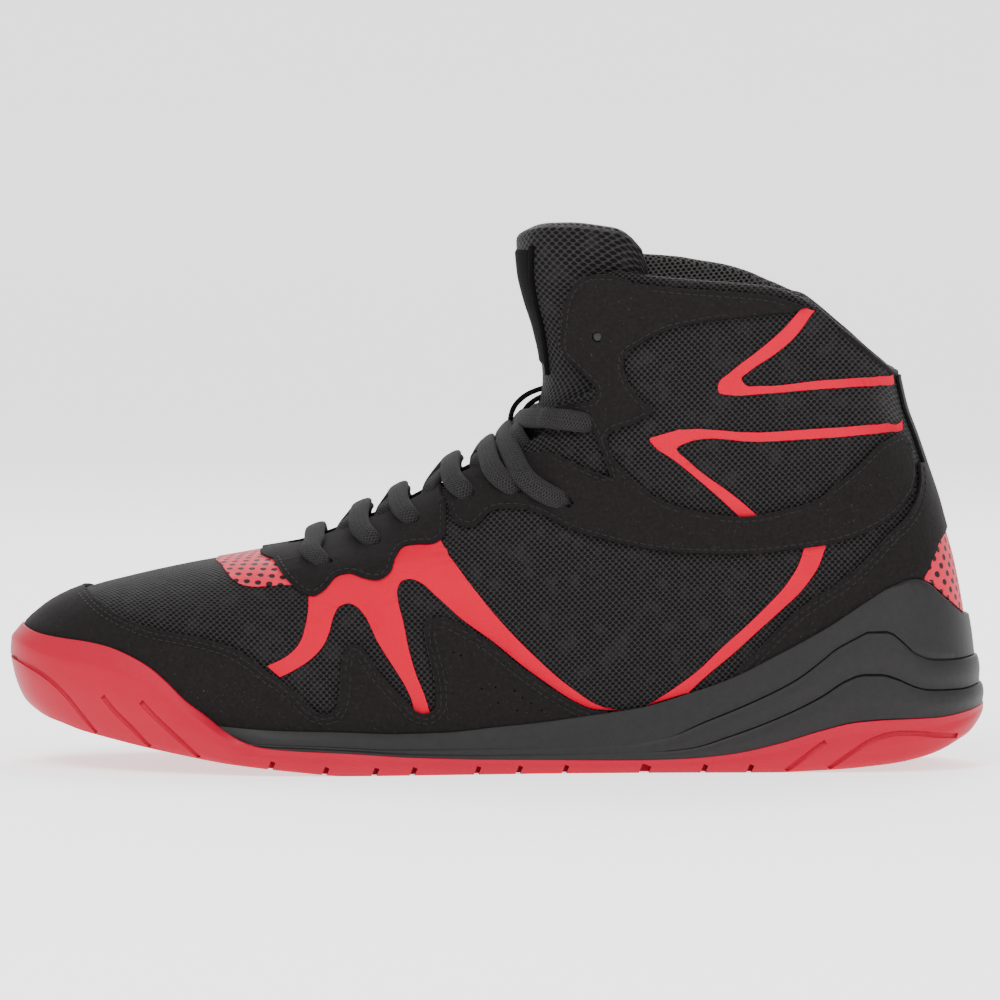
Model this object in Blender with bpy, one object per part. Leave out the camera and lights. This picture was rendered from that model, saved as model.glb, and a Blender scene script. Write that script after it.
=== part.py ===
"""Left high-top mixed martial arts shoe, standing on z = 0.

The toe points to -X, the outer side of the foot to -Y. Sizes are millimetres until a mesh is finished.
"""
import math
from collections import namedtuple

import bmesh
import bpy
import numpy as np
from mathutils import Vector

MM = 0.001

# Driving sizes
SHOE_LENGTH = 300.0
GAP = 0.3                    # clearance between pieces that meet
WALL = 2.2                   # mesh upper with its lining
COLLAR_PADDING = 2.8         # added to the wall round the ankle opening
COLLAR_ROUND = 1.6           # height of the rolled edge above the top line
FEATHER_INSET = 6.0          # bottom edge of the upper, in from the sole's outline
CORNER_DROP = 0.045          # collar's front corners below the top line, as a share of the upper's height
COLLAR_TILT = 0.016          # collar's outer side below the top line and its inner side above it, likewise
TOE_SWING = 9.0              # toe tip, off the heel's centre line towards the inner side
SUEDE = 0.8
FILM = 0.4
INSOLE_THICKNESS = 3.5
INSOLE_ROUND = 1.0
UPPER_HEIGHT = 140.0         # feather edge to collar, about
TONGUE_THICKNESS = 5.0
TONGUE_CLEARANCE = 1.1       # tongue to the inside of the upper
LACE_WIDTH = 6.4
LACE_THICKNESS = 2.6
LACE_CLEARANCE = 1.3         # lace to the panel under it, so that its edges clear the hollow instep
MIDSOLE_LIP = 1.4
BUMPER_RIM = 1.5
BUMPER_WALL = 3.9
BUMPER_END = (-98, -64)      # where the toe bumper thins out into the outsole's edge
OUTSOLE_INSET = 0.6          # outsole edge, in from the midsole above it
EDGE_TUCK = 3.5              # rounding of the outsole's ground edge

SOLE_FRONT = -SHOE_LENGTH / 2
SOLE_BACK = SHOE_LENGTH / 2
TOE_ROUND = 2.2              # powers of the rounded toe and heel ends
HEEL_ROUND = 2.1
THROAT_LEVEL = 0.39          # where the throat starts, as a share of the upper's height
COLUMNS = 32                 # facets round the upper and round the sole
SOLE_COLUMNS = 36
COLUMN_CROWDING = 0.6        # how far columns close up beside the throat, and how soon they straighten
STEEPEST_BEND = 8
SNAP = 0.002                 # least distance between columns or levels
OUTER, INNER = -1, 1


def table(columns, *rows):
    """A short table as named columns."""
    return namedtuple("Table", columns)(*np.array(rows, float).T)


def curve(at, values):
    """A smooth curve through points that never swings past them."""
    order = np.argsort(at)
    at, values = np.asarray(at, float)[order], np.asarray(values, float)[order]
    step = np.diff(at)
    slope = np.diff(values) / step
    tangent = np.zeros(len(at))
    tangent[0], tangent[-1] = slope[0], slope[-1]
    for i in range(1, len(at) - 1):
        if slope[i - 1] * slope[i] > 0:
            tangent[i] = 2 * slope[i - 1] * slope[i] / (slope[i - 1] + slope[i])

    def value(x):
        x = min(max(x, at[0]), at[-1])
        i = min(int(np.searchsorted(at, x, side="right")) - 1, len(step) - 1)
        s = (x - at[i]) / step[i]
        bend = tangent[i] * s * (1 - s) ** 2 - tangent[i + 1] * s * s * (1 - s)
        return values[i] + step[i] * bend + (values[i + 1] - values[i]) * s * s * (3 - 2 * s)

    return value


def smooth(start, end, x):
    """Ease from 0 at start to 1 at end."""
    s = min(max((x - start) / (end - start), 0.0), 1.0)
    return s * s * (3 - 2 * s)


def lerp(a, b, share):
    return a + (b - a) * share


def nose(a, power):
    """Share of the full width at a share of the way along a rounded end."""
    return (1 - (1 - min(max(a, 0.0), 1.0)) ** power) ** (1 / power)


# Half widths of the sole before its ends are rounded
PLAN = table(
    "x outer inner",
    (150, 36.5, 35.0),
    (100, 36.5, 34.0),
    (60, 36.0, 31.0),
    (25, 38.0, 29.5),
    (-10, 43.5, 33.0),
    (-45, 49.5, 41.0),
    (-75, 52.5, 45.2),
    (-100, 53.0, 45.6),
    (-150, 52.0, 44.5),
)
TOE_NOSE = {OUTER: 95.0, INNER: 62.0}
HEEL_NOSE = 38.0

# Heights of the long lines of the side view, along the foot
GROUND = table(
    "x z",
    (-150, 24), (-146, 19), (-143, 17), (-135, 13.5), (-122, 9.6), (-110, 7.2), (-97, 5.0), (-85, 3.0),
    (-73, 1.7), (-60, 0.7), (-46, 0), (84, 0), (100, 0.9), (112, 2.2), (124, 4.2), (136, 7.2),
    (144, 11), (150, 16),
)
BUMPER_TOP = table(
    "x z",
    (-146, 42), (-138, 39.5), (-128, 38.4), (-120, 37), (-112, 35), (-106, 32), (-100, 27), (-94, 22),
    (-89, 17), (-84, 12.6), (-79, 9.5), (-73, 7.8), (-61, 6.5), (-30, 4.7), (1, 4.1), (47, 3.8),
    (62, 4.9), (78, 7.1), (93, 10.8), (108, 14.5), (124, 16.2), (139, 16.6), (150, 18.5),
)
CUP_FLOOR = table(
    "x z",
    (-146, 22.5), (-135, 18.3), (-122, 13.8), (-110, 11), (-97, 8.8), (-85, 7.2), (-73, 6.8), (-61, 6.5),
    (-30, 4.7), (1, 4.1), (47, 3.8), (62, 4.9), (78, 7.1), (93, 10.8), (108, 14.5), (124, 16.2),
    (139, 16.6), (150, 18.5),
)
MIDSOLE_TOP = table(
    "x z",
    (-146, 29.5), (-122, 20.8), (-100, 15.8), (-85, 14), (-60, 12.9), (-30, 12.4), (1, 14.8), (19, 17.8),
    (47, 22.2), (62, 26.2), (78, 31.7), (93, 38.5), (109, 47.7), (118, 53.9), (126, 57.5), (136, 51.5),
    (143, 46.5),
)
STEP_LOWER = table(
    "x z",
    (40, 6.5), (60, 8.6), (84, 16), (99, 22.8), (112, 29.6), (119, 30.5), (127, 28.3), (132, 26),
    (142, 25), (150, 26),
)
STEP_UPPER = table(
    "x z",
    (40, 10), (55, 11.5), (89, 22.5), (99, 31.7), (109, 40.3), (114, 42.8), (121, 42.6), (126, 39.4),
    (132, 36), (142, 33), (150, 33),
)
STEP_DEPTH = 1.1
GROOVES = table(
    "x width",
    (-86, 1.3), (-70, 1.3), (-53, 1.3), (-38, 1.3), (-26, 1.3), (-6, 1.3), (7, 1.3), (21, 1.3), (46, 3.0),
    (64, 1.3), (77, 1.3), (92, 1.3),
)
GROOVE_DEPTH = 1.6
GROOVE_LENGTH = 140
FEATHER = table(
    "x z",
    (-146, 28), (-122, 19.6), (-97, 14), (-60, 11), (-30, 10.6), (0, 12), (60, 16.5), (100, 20), (143, 21),
)
TOPLINE = table(
    "x z",
    (-150, 153), (18, 153), (44, 150.5), (80, 148), (93, 144), (108, 132.5), (117, 124.5), (122, 121),
    (150, 120),
)
RIDGE = table(
    "x z",
    (-143.5, 27), (-146.2, 34.5), (-145, 41.5), (-140.5, 46.3), (-134.5, 50.3), (-125.5, 54), (-110, 58),
    (-97.6, 60.8), (-85, 63.2), (-73, 65.4), (-60.7, 67.6), (-48.4, 72), (-30, 80), (-17.6, 87),
    (-5.2, 94.5), (4, 103), (9.5, 112), (11.5, 122), (9.5, 133), (6.5, 142.5), (4.5, 151.5),
    (3.8, 162), (4.0, 172),
)
HEEL = table(
    "x z",
    (143, 21), (144, 34), (143, 46), (141.6, 54.5), (139.6, 64), (137, 73), (134.5, 82), (131.3, 91.5),
    (128, 101), (124.6, 110), (122, 121),
)

# Level sections of the upper: how far each has turned from the sole's outline to the ankle's oval
SECTIONS = table(
    "level swell ankle_share ankle toe_outer toe_inner heel",
    (0.00, 0.0, 0.00, 31.0, 88, 58, 34),
    (0.08, 2.2, 0.00, 31.0, 88, 58, 34),
    (0.18, 2.4, 0.06, 31.0, 84, 60, 34),
    (0.30, 1.4, 0.30, 31.5, 78, 62, 34),
    (0.42, 0.4, 0.62, 32.0, 66, 60, 34),
    (0.55, 0.0, 0.92, 32.5, 48, 48, 33),
    (0.70, 0.0, 1.00, 32.5, 38, 38, 33),
    (0.85, 0.0, 1.00, 32.5, 36, 36, 33),
    (1.00, 0.0, 1.00, 34.5, 38, 38, 36),
    (1.15, 0.0, 1.00, 36.0, 38, 38, 36),
)
# Half width of the throat between the eyestays, with the flex notch over the instep
THROAT = table(
    "level half_gap",
    (0.390, 3), (0.402, 8), (0.43, 10), (0.50, 12), (0.54, 13.5), (0.60, 18.5), (0.635, 23), (0.67, 23),
    (0.705, 21.5), (0.745, 29), (0.785, 24.5), (0.83, 22), (0.87, 24.5), (0.92, 27), (1.0, 30.5),
)
ROWS = (0, 0.06, 0.14, 0.235, 0.32, THROAT_LEVEL,
        0.402, 0.45, 0.50, 0.55, 0.60, 0.635, 0.67, 0.705, 0.745, 0.785, 0.86, 1.0)

ground = curve(GROUND.x, GROUND.z)
bumper_top = curve(BUMPER_TOP.x, BUMPER_TOP.z)
cup_floor = curve(CUP_FLOOR.x, CUP_FLOOR.z)
midsole_top = curve(MIDSOLE_TOP.x, MIDSOLE_TOP.z)
step_lower = curve(STEP_LOWER.x, STEP_LOWER.z)
step_upper = curve(STEP_UPPER.x, STEP_UPPER.z)
feather = curve(FEATHER.x, FEATHER.z)
topline = curve(TOPLINE.x, TOPLINE.z)
plan = {OUTER: curve(PLAN.x, PLAN.outer), INNER: curve(PLAN.x, PLAN.inner)}
swell = curve(SECTIONS.level, SECTIONS.swell)
ankle_share = curve(SECTIONS.level, SECTIONS.ankle_share)
ankle = curve(SECTIONS.level, SECTIONS.ankle)
toe_length = {
    OUTER: curve(SECTIONS.level, SECTIONS.toe_outer),
    INNER: curve(SECTIONS.level, SECTIONS.toe_inner),
}
heel_length = curve(SECTIONS.level, SECTIONS.heel)
half_gap = curve(THROAT.level, THROAT.half_gap)


def centre(x):
    """Centre line of the foot in plan, swinging in at the toe."""
    return TOE_SWING * smooth(-30, SOLE_FRONT, x)


# The last: a point of the upper's outer skin for a turn round the shoe and a level up it
def level(x, z):
    return (z - feather(x)) / (topline(x) - feather(x))


front = curve([level(x, z) for x, z in zip(RIDGE.x, RIDGE.z)], RIDGE.x)
back = curve([level(x, z) for x, z in zip(HEEL.x, HEEL.z)], HEEL.x)


def full_width(x, t, side):
    bottom = plan[side](x) - FEATHER_INSET + swell(t)
    return lerp(bottom, ankle(t), ankle_share(t))


def turn_at(reach, t):
    """Turn at which the skin is a given distance off the centre line, at the front."""
    share = min(reach / full_width(front(t), t, OUTER), 1.0)
    along = (1 - (1 - share ** TOE_ROUND) ** (1 / TOE_ROUND)) * toe_length[OUTER](t)
    return math.acos(1 - 2 * along / (back(t) - front(t))) / math.pi


def throat_turn(t):
    return turn_at(half_gap(t), t) if t > THROAT_LEVEL else 0.0


def last(turn, t):
    """Point of the skin: turn 0 is the ridge, 1 the heel, positive on the outer side."""
    if turn > 1:
        turn -= 2
    if turn < -1:
        turn += 2
    side = OUTER if turn >= 0 else INNER
    start, end = front(t), back(t)
    x = lerp(start, end, (1 - math.cos(math.pi * abs(turn))) / 2)
    rounding = nose((x - start) / toe_length[side](t), TOE_ROUND)
    rounding *= nose((end - x) / heel_length(t), HEEL_ROUND)
    y = centre(x) + side * full_width(x, t, side) * rounding
    return Vector((x, y, feather(x) + t * (topline(x) - feather(x))))


def lifted(turn, t, offset):
    """Point off the skin along its outward normal."""
    step = 0.004
    along = last(turn + step, t) - last(turn - step, t)
    up = last(turn, t + step) - last(turn, t - step)
    return last(turn, t) + along.cross(up).normalized() * offset


def turn_of(v, t):
    """Turn of a column: v is 0 at the ridge or the throat's outer edge, 1 at the heel, 2 at the inner."""
    v %= 2
    share = min(v, 2 - v)
    edge = throat_turn(t)
    power = min(COLUMN_CROWDING / max(edge, SNAP), STEEPEST_BEND)
    turn = share + edge * (1 - share) ** power
    return turn if v <= 1 else -turn


def skin(v, t, offset=0.0):
    """Point off the upper by column and level, with the collar tilted and its front corners rounded."""
    v %= 2
    drop = CORNER_DROP * (1 - smooth(0, 0.12, min(v, 2 - v))) + COLLAR_TILT * math.sin(math.pi * v)
    return lifted(turn_of(v, t), t - drop * smooth(0.83, 1, t), offset)


def chart(x, z):
    """Column and level of a point of the side view, on the outer side."""
    t = level(x, z)
    along = min(max((x - front(t)) / (back(t) - front(t)), 0.0), 1.0)
    turn = math.acos(1 - 2 * along) / math.pi
    low, high = 0.0, 1.0
    for _ in range(24):
        v = (low + high) / 2
        low, high = (v, high) if turn_of(v, t) < turn else (low, v)
    return v, t


def rise_to(v, line):
    """Level at which a column of the skin meets a long line of the side view."""
    t = 0.1
    for _ in range(8):
        x = skin(v, t).x
        t = level(x, line(x))
    return t


# Meshes and finishes
def finish(name, colour, roughness):
    material = bpy.data.materials.new(name)
    material.use_nodes = True
    shader = material.node_tree.nodes["Principled BSDF"]
    shader.inputs["Base Color"].default_value = (*colour, 1)
    shader.inputs["Roughness"].default_value = roughness
    return material


def piece(name, bm, material):
    """Turn a mesh in millimetres into a named object in metres."""
    bmesh.ops.scale(bm, vec=(MM, MM, MM), verts=bm.verts)
    bmesh.ops.recalc_face_normals(bm, faces=bm.faces)
    if bm.calc_volume(signed=True) < 0:
        bmesh.ops.reverse_faces(bm, faces=bm.faces)
    mesh = bpy.data.meshes.new(name)
    bm.to_mesh(mesh)
    bm.free()
    mesh.shade_smooth()
    mesh.set_sharp_from_angle(angle=math.radians(40))
    mesh.materials.append(material)
    thing = bpy.data.objects.new(name, mesh)
    bpy.context.collection.objects.link(thing)
    return thing


def combine(target, tool, operation):
    """Cut or join with a hidden tool shape."""
    change = target.modifiers.new(tool.name, "BOOLEAN")
    change.operation = operation
    change.object = tool
    tool.hide_render = True
    tool.display_type = "WIRE"


def folds_forward(low_left, low_right, high_left, high_right):
    """Whether a cell of the wall folds inwards along the diagonal from its low left corner."""
    outward = (low_right - low_left).cross(high_left - low_left)
    return (low_left + high_right - low_right - high_left).dot(outward) <= 0


def split_quads(bm, low, high):
    """Triangles between two rows round the shoe, with each cell folded inwards."""
    for j in range(len(low) - 1):
        near, far = j, j + 1
        if not folds_forward(low[near].co, low[far].co, high[near].co, high[far].co):
            near, far = far, near
        bm.faces.new((low[near], low[far], high[far]))
        bm.faces.new((low[near], high[far], high[near]))


def ring_solid(rings):
    """A solid from rings round the shoe, closed across from side to side at its first and last ring."""
    bm = bmesh.new()
    count = len(rings[0])
    loops = [[bm.verts.new(point) for point in ring] for ring in rings]
    for low, high in zip(loops, loops[1:]):
        split_quads(bm, low + low[:1], high + high[:1])
    for loop in (loops[0], loops[-1]):
        half = count // 2
        bm.faces.new((loop[0], loop[1], loop[-1]))
        for j in range(1, half - 1):
            bm.faces.new((loop[j], loop[j + 1], loop[count - j - 1], loop[count - j]))
        bm.faces.new((loop[half - 1], loop[half], loop[half + 1]))
    return bm


def slab(bm, layers):
    """Close two like grids of points into one solid."""
    under, over = layers
    last_row, last_column = len(under) - 1, len(under[0]) - 1
    for i in range(last_row):
        for k in range(last_column):
            for grid in layers:
                bm.faces.new((grid[i][k], grid[i][k + 1], grid[i + 1][k + 1], grid[i + 1][k]))
        for k in (0, last_column):
            bm.faces.new((under[i][k], under[i + 1][k], over[i + 1][k], over[i][k]))
    for i in (0, last_row):
        for k in range(last_column):
            bm.faces.new((under[i][k], under[i][k + 1], over[i][k + 1], over[i][k]))


def columns(count=COLUMNS):
    return [2 * j / count for j in range(count)]


def sole_edge(v, inset):
    """Plan point of the sole's outline, moved in by an inset."""
    def edge(v):
        v %= 2
        side = OUTER if v <= 1 else INNER
        x = lerp(SOLE_FRONT, SOLE_BACK, (1 - math.cos(math.pi * min(v, 2 - v))) / 2)
        rounding = nose((x - SOLE_FRONT) / TOE_NOSE[side], TOE_ROUND)
        rounding *= nose((SOLE_BACK - x) / HEEL_NOSE, HEEL_ROUND)
        return Vector((x, centre(x) + side * plan[side](x) * rounding, 0))

    step = 0.004
    along = edge(v + step) - edge(v - step)
    inward = Vector((-along.y, along.x, 0)).normalized()
    return edge(v) + inward * inset


def cup_wall(x):
    """Thickness of the bumper's wall at its foot, thinning out behind the toe."""
    return lerp(BUMPER_WALL, 0.0, smooth(BUMPER_END[0], BUMPER_END[1], x))


def midsole_rings(grow):
    """Rings of the midsole without its hollow, from its bottom edge up its stepped side to its lip."""
    rings = [[] for _ in range(9)]
    for v in columns(SOLE_COLUMNS):
        x = sole_edge(v, 0).x
        low = sole_edge(v, cup_wall(x) + GAP - grow)
        low.z = cup_floor(low.x) + GAP - grow
        t = rise_to(v, midsole_top)
        high = skin(v, t, GAP + MIDSOLE_LIP + grow)
        high.z = midsole_top(high.x) + grow
        outward = sole_edge(v, -1) - sole_edge(v, 0)
        depth = STEP_DEPTH * smooth(48, 78, x)
        tall = high.z - low.z
        lower = min(max((step_lower(x) - low.z) / tall, 0.15), 0.45)
        upper = min(max((step_upper(x) - low.z) / tall, lower + 0.15), 0.75)
        rows = (
            (0, 0), (lower / 2, 0.6), (lower - 0.02, 1), (lower + 0.02, 0), ((lower + upper) / 2, 0.5),
            (upper - 0.02, 0.9), (upper + 0.02, 0), ((upper + 1) / 2, 0.4), (1, 0),
        )
        for ring, (share, step) in zip(rings, rows):
            ring.append(low.lerp(high, share) + outward * depth * step)
    return rings


def foot_fill(offset):
    """The space of the foot and upper, as a tool for hollowing the sole."""
    levels = [-GAP / UPPER_HEIGHT] + [t for t in ROWS if t <= THROAT_LEVEL]
    return ring_solid([[skin(v, t, offset) for v in columns()] for t in levels])


def outsole_rings():
    """Rings of the outsole without its hollow, from the ground edge up to the bumper's rim."""
    rings = [[] for _ in range(5)]
    for v in columns(SOLE_COLUMNS):
        x = sole_edge(v, 0).x
        toe = 1 - smooth(BUMPER_END[0] + 2, BUMPER_END[1] - 6, x)
        inset = lerp(OUTSOLE_INSET, 0, toe)
        tall = bumper_top(x) - ground(x)
        tuck = min(EDGE_TUCK, 0.25 * tall)
        for ring, share, back_in in zip(rings, (0, 0.22, 0.5, 0.8), (1, 0.28, 0, 0.12)):
            point = sole_edge(v, inset + tuck * back_in)
            point.z = lerp(ground(point.x), bumper_top(point.x), share)
            ring.append(point)
        slab = sole_edge(v, inset)
        slab.z = bumper_top(slab.x) + 1.0
        rim = skin(v, rise_to(v, bumper_top), GAP + BUMPER_RIM)
        rings[-1].append(slab.lerp(rim, toe))
    return rings


# The pieces
def make_midsole(material):
    midsole = piece("midsole", ring_solid(midsole_rings(0)), material)
    combine(midsole, piece("midsole_hollow", foot_fill(GAP), material), "DIFFERENCE")


def make_outsole(material):
    outsole = piece("outsole", ring_solid(outsole_rings()), material)
    combine(outsole, piece("outsole_seat", ring_solid(midsole_rings(GAP)), material), "DIFFERENCE")
    combine(outsole, piece("outsole_toe_hollow", foot_fill(GAP), material), "DIFFERENCE")
    make_grooves(outsole, material)


def make_grooves(outsole, material):
    """Cuts the cross grooves that divide the tread into lugs."""
    bm = bmesh.new()
    for x, width in zip(GROOVES.x, GROOVES.width):
        box = bmesh.ops.create_cube(bm, size=1)["verts"]
        bmesh.ops.scale(bm, vec=(width, GROOVE_LENGTH, 2 * GROOVE_DEPTH), verts=box)
        bmesh.ops.translate(bm, vec=(x, 0, ground(x)), verts=box)
    combine(outsole, piece("outsole_grooves", bm, material), "DIFFERENCE")


def make_insole(material):
    inside = -(WALL + GAP)
    rise = INSOLE_THICKNESS / UPPER_HEIGHT
    rings = [[skin(v, t, inside) for v in columns()] for t in (0.0, rise * 0.7)]
    rings.append([skin(v, rise, inside - INSOLE_ROUND) for v in columns()])
    piece("insole", ring_solid(rings), material)


def wall(turn, t):
    """Thickness of the upper: padded round the ankle, thin along the throat."""
    return WALL + COLLAR_PADDING * smooth(0.62, 0.9, t) * smooth(0.32, 0.5, abs(turn))


def make_upper(material):
    """One hollow wall, open along the throat, at the collar and underneath."""
    bm = bmesh.new()
    outer, inner, rim = [], [], []
    for t in ROWS:
        closed = t <= THROAT_LEVEL
        outer.append([])
        inner.append([])
        for j in range(COLUMNS if closed else COLUMNS + 1):
            v = min(2 * j / COLUMNS, 2 - 1e-9)
            outer[-1].append(bm.verts.new(skin(v, t)))
            inner[-1].append(bm.verts.new(skin(v, t, -wall(turn_of(v, t), t))))
        if closed:
            outer[-1].append(outer[-1][0])
            inner[-1].append(inner[-1][0])
    for j in range(COLUMNS + 1):
        middle = (outer[-1][j].co + inner[-1][j].co) / 2
        rim.append(bm.verts.new(middle + Vector((0, 0, COLLAR_ROUND))))
    for grid in (outer, inner):
        for low, high in zip(grid, grid[1:]):
            split_quads(bm, low, high)
    for j in range(COLUMNS):
        bm.faces.new((outer[0][j], inner[0][j], inner[0][j + 1], outer[0][j + 1]))
        bm.faces.new((outer[-1][j], outer[-1][j + 1], rim[j + 1], rim[j]))
        bm.faces.new((inner[-1][j], rim[j], rim[j + 1], inner[-1][j + 1]))
    for j in (0, COLUMNS):
        for i in range(ROWS.index(THROAT_LEVEL), len(ROWS) - 1):
            bm.faces.new((outer[i][j], outer[i + 1][j], inner[i + 1][j], inner[i][j]))
        bm.faces.new((outer[-1][j], rim[j], inner[-1][j]))
    return piece("upper", bm, material)


TONGUE = table(
    "level half_width",
    (0.345, 17), (0.39, 20), (0.5, 22), (0.58, 25), (0.635, 29), (0.70, 30), (0.75, 31.6), (0.83, 31),
    (0.92, 33), (1.0, 34.4), (1.1, 35.5),
)
TONGUE_TOP = 1.08
TONGUE_SHOULDER = 0.018      # rise of the tongue's top edge beside its middle, and fall at its corners
TONGUE_CORNER = 0.07
TONGUE_COLUMNS = 10
tongue_reach = curve(TONGUE.level, TONGUE.half_width)


def tongue_point(across, t, depth):
    """Point of the tongue: across is -1 at its inner edge and 1 at its outer one, depth 0 its outer face."""
    turn = across * turn_at(tongue_reach(t), t)
    thick = TONGUE_THICKNESS * (1 - 0.45 * across ** 4) * lerp(0.55, 1, smooth(0.345, 0.55, t))
    return lifted(turn, t, -(wall(turn, min(t, 1.0)) + TONGUE_CLEARANCE) - thick * depth)


def make_tongue(material):
    """A padded strip that follows the inside of the upper and stands above the collar."""
    levels = [t for t in ROWS if 0.35 < t < 1] + [1.0, 1.04, TONGUE_TOP]
    bm = bmesh.new()
    faces = []
    for depth in (0, 1):
        grid = []
        for i, t in enumerate(levels):
            row = []
            for k in range(TONGUE_COLUMNS + 1):
                across = 2 * k / TONGUE_COLUMNS - 1
                rise = TONGUE_SHOULDER * smooth(0, 0.45, abs(across))
                rise -= TONGUE_CORNER * smooth(0.78, 1, abs(across))
                rise *= smooth(0.96, TONGUE_TOP, t)
                tuck = depth if i < len(levels) - 1 else lerp(0.15, 0.85, depth)
                row.append(bm.verts.new(tongue_point(across, t + rise, tuck)))
            grid.append(row)
        faces.append(grid)
    slab(bm, faces)
    return piece("tongue", bm, material)


# Panels of the upper, by the side view of their edges
GUARD_EDGE = table(
    "x z",
    (-124, 54), (-120, 49), (-110, 45), (-99, 42), (-84, 38), (-76, 35), (-69, 29), (-61, 21),
    (-56, 17), (-51, 17),
    (-48, 21), (-47, 34), (-44, 38), (-40, 36), (-36, 27), (-30, 20), (-22, 17), (-17, 20), (-18, 28),
    (-21, 38),
    (-22, 45), (-18, 48), (-14, 47), (-6, 41), (1, 37), (11, 29.5), (23, 22.5), (30, 20.5),
)
EYESTAY_EDGE = table(
    "x z",
    (-68, 63), (-64, 58), (-60, 55), (-56, 55), (-51, 59), (-46, 61), (-36, 60), (-33, 62), (-31, 66),
    (-26, 69.5),
    (-18, 71), (-16, 75), (-16, 81),
)
FRAME_EDGE = table(
    "x z",
    (-13.5, 81), (-12, 77), (-9, 75), (-6, 76), (-2, 79.5), (4, 80.5), (12, 79), (22, 75), (35, 71),
    (50, 68), (72, 67), (95, 69), (114, 74), (123, 81), (127, 89), (125, 99), (122, 103), (117, 101),
    (111, 94), (104, 88), (89, 81), (70, 79), (50, 84), (41, 91), (34, 103), (48, 111), (44, 115),
    (39.5, 123), (44, 131), (54, 136), (79, 139), (93, 141),
)
NOTCH_EDGE = table(
    "x z",
    (17, 112), (22, 109.5), (29, 107.5), (30.5, 103), (35, 90.5), (27, 93.5), (16, 98),
)
COUNTER_EDGE = table(
    "x z",
    (74, 31.5), (82, 39), (90.5, 48), (97, 53), (106.5, 59), (113, 65), (120, 73), (126, 78.5), (128.5, 84),
)
VAMP_EDGE = table("x z", (-84, 62), (-81, 59), (-76, 56.5), (-71, 55.5), (-67, 57), (-70, 63))
CLAW_EDGE = table(
    "x z",
    (-71, 33), (-62, 38), (-59, 44), (-58, 51), (-55, 53), (-50, 56.5), (-46, 58.5), (-36, 58), (-31, 59.5),
    (-28.5, 62.5), (-25, 65.5), (-20, 67), (-14.5, 67), (-11, 60), (-5, 51), (3, 45), (12, 36),
    (22, 27), (31, 21.3), (22, 24), (11, 31), (2, 38),
    (-6, 43), (-15, 51), (-21, 56), (-26, 58.5), (-29.5, 57), (-30, 48), (-26, 36), (-23, 27),
    (-20, 20.5), (-24, 19),
    (-31, 34), (-37, 43), (-43, 49), (-46, 50.5), (-50, 47), (-54, 39), (-58, 34), (-67, 29),
)
UPPER_V_EDGE = table(
    "x z",
    (93, 140), (97, 140), (85, 131), (76, 123), (76, 120), (80, 119), (118, 122), (119, 119.5),
    (76, 116), (70, 116.5),
    (68, 118.5), (81, 130),
)
LOWER_V_EDGE = table(
    "x z",
    (47, 103), (56, 104), (122, 108.5), (122.5, 106), (58, 100), (55, 98.5), (74, 85), (79, 80.5),
    (75, 80.5), (69, 84),
    (50, 98),
)
REAR_EDGE = table(
    "x z",
    (94, 67.5), (101, 68.5), (98, 62), (89, 52), (72, 35), (62, 28.5), (55, 26), (51, 25), (56, 29),
    (70, 40),
    (84, 54), (91, 62),
)
# Places on the ridge where panels cross from side to side
GUARD_FRONT = (-126, 55.4)
VAMP_FRONT, VAMP_BACK = (-85, 63.2), (-74, 65.2)
EYESTAY_FRONT = (-72, 65.6)
PANEL_X, PANEL_TOP = 136, 72         # top of the heel panel
PANEL_HALF_TOP, PANEL_HALF_BASE = 0.03, 0.135    # its half widths, in columns off the back seam
STRIP_HALF = 0.062           # heel strip, in columns off the back seam
STRIP_START = 0.66           # level at which the counter narrows to the heel strip
EYESTAY_END, FRAME_START = 0.525, 0.545      # levels at which eyestay and ankle frame meet along the throat
SEAM = 0.9                   # between a panel's edge and the sole below it
JOINT = 0.006                # between the heel panel and the counter round it, in columns and levels
SLIT = 0.012                 # panel edges back from the throat's edge, in columns
COLLAR_BAND = 0.985          # level at which the ankle frame ends under the rolled collar


def side_edge(edge):
    places = [chart(x, z) for x, z in zip(edge.x, edge.z)]
    return [(max(v, SLIT), t) for v, t in places]


def mirrored(outline):
    """The same outline on the inner side of the shoe."""
    return [(2 - v, t) for v, t in reversed(outline)]


def across_front(half):
    return half + [(-v, t) for v, t in reversed(half) if v > 0]


def across_back(half):
    return half + [(2 - v, t) for v, t in reversed(half) if v < 1]


def sole_line(x):
    return max(midsole_top(x), bumper_top(x)) + SEAM


def along_sole(start, end):
    """Columns along the top of the sole from one place to another."""
    inside = [v for v in columns(SOLE_COLUMNS) if min(start, end) + SNAP < v < max(start, end) - SNAP]
    places = [start] + sorted(inside, reverse=end < start) + [end]
    return [(v, rise_to(v, sole_line)) for v in places]


def facet(v, t, offset):
    """Point off the upper's faceted wall, on the triangle of its grid that the column and level fall in."""
    across = v % 2 * COLUMNS / 2
    j = min(int(across), COLUMNS - 1)
    i = min(int(np.searchsorted(ROWS, t, side="right")) - 1, len(ROWS) - 2)
    a, b = across - j, (t - ROWS[i]) / (ROWS[i + 1] - ROWS[i])

    def corners(column):
        return [skin(min(2 * column / COLUMNS, 2 - 1e-9), ROWS[row], offset) for row in (i, i + 1)]

    near, far = corners(j), corners(j + 1)
    if not folds_forward(near[0], far[0], near[1], far[1]):
        near, far, a = far, near, 1 - a
    third = far[0] if a > b else near[1]
    return near[0] * (1 - max(a, b)) + third * abs(a - b) + far[1] * min(a, b)


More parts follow.
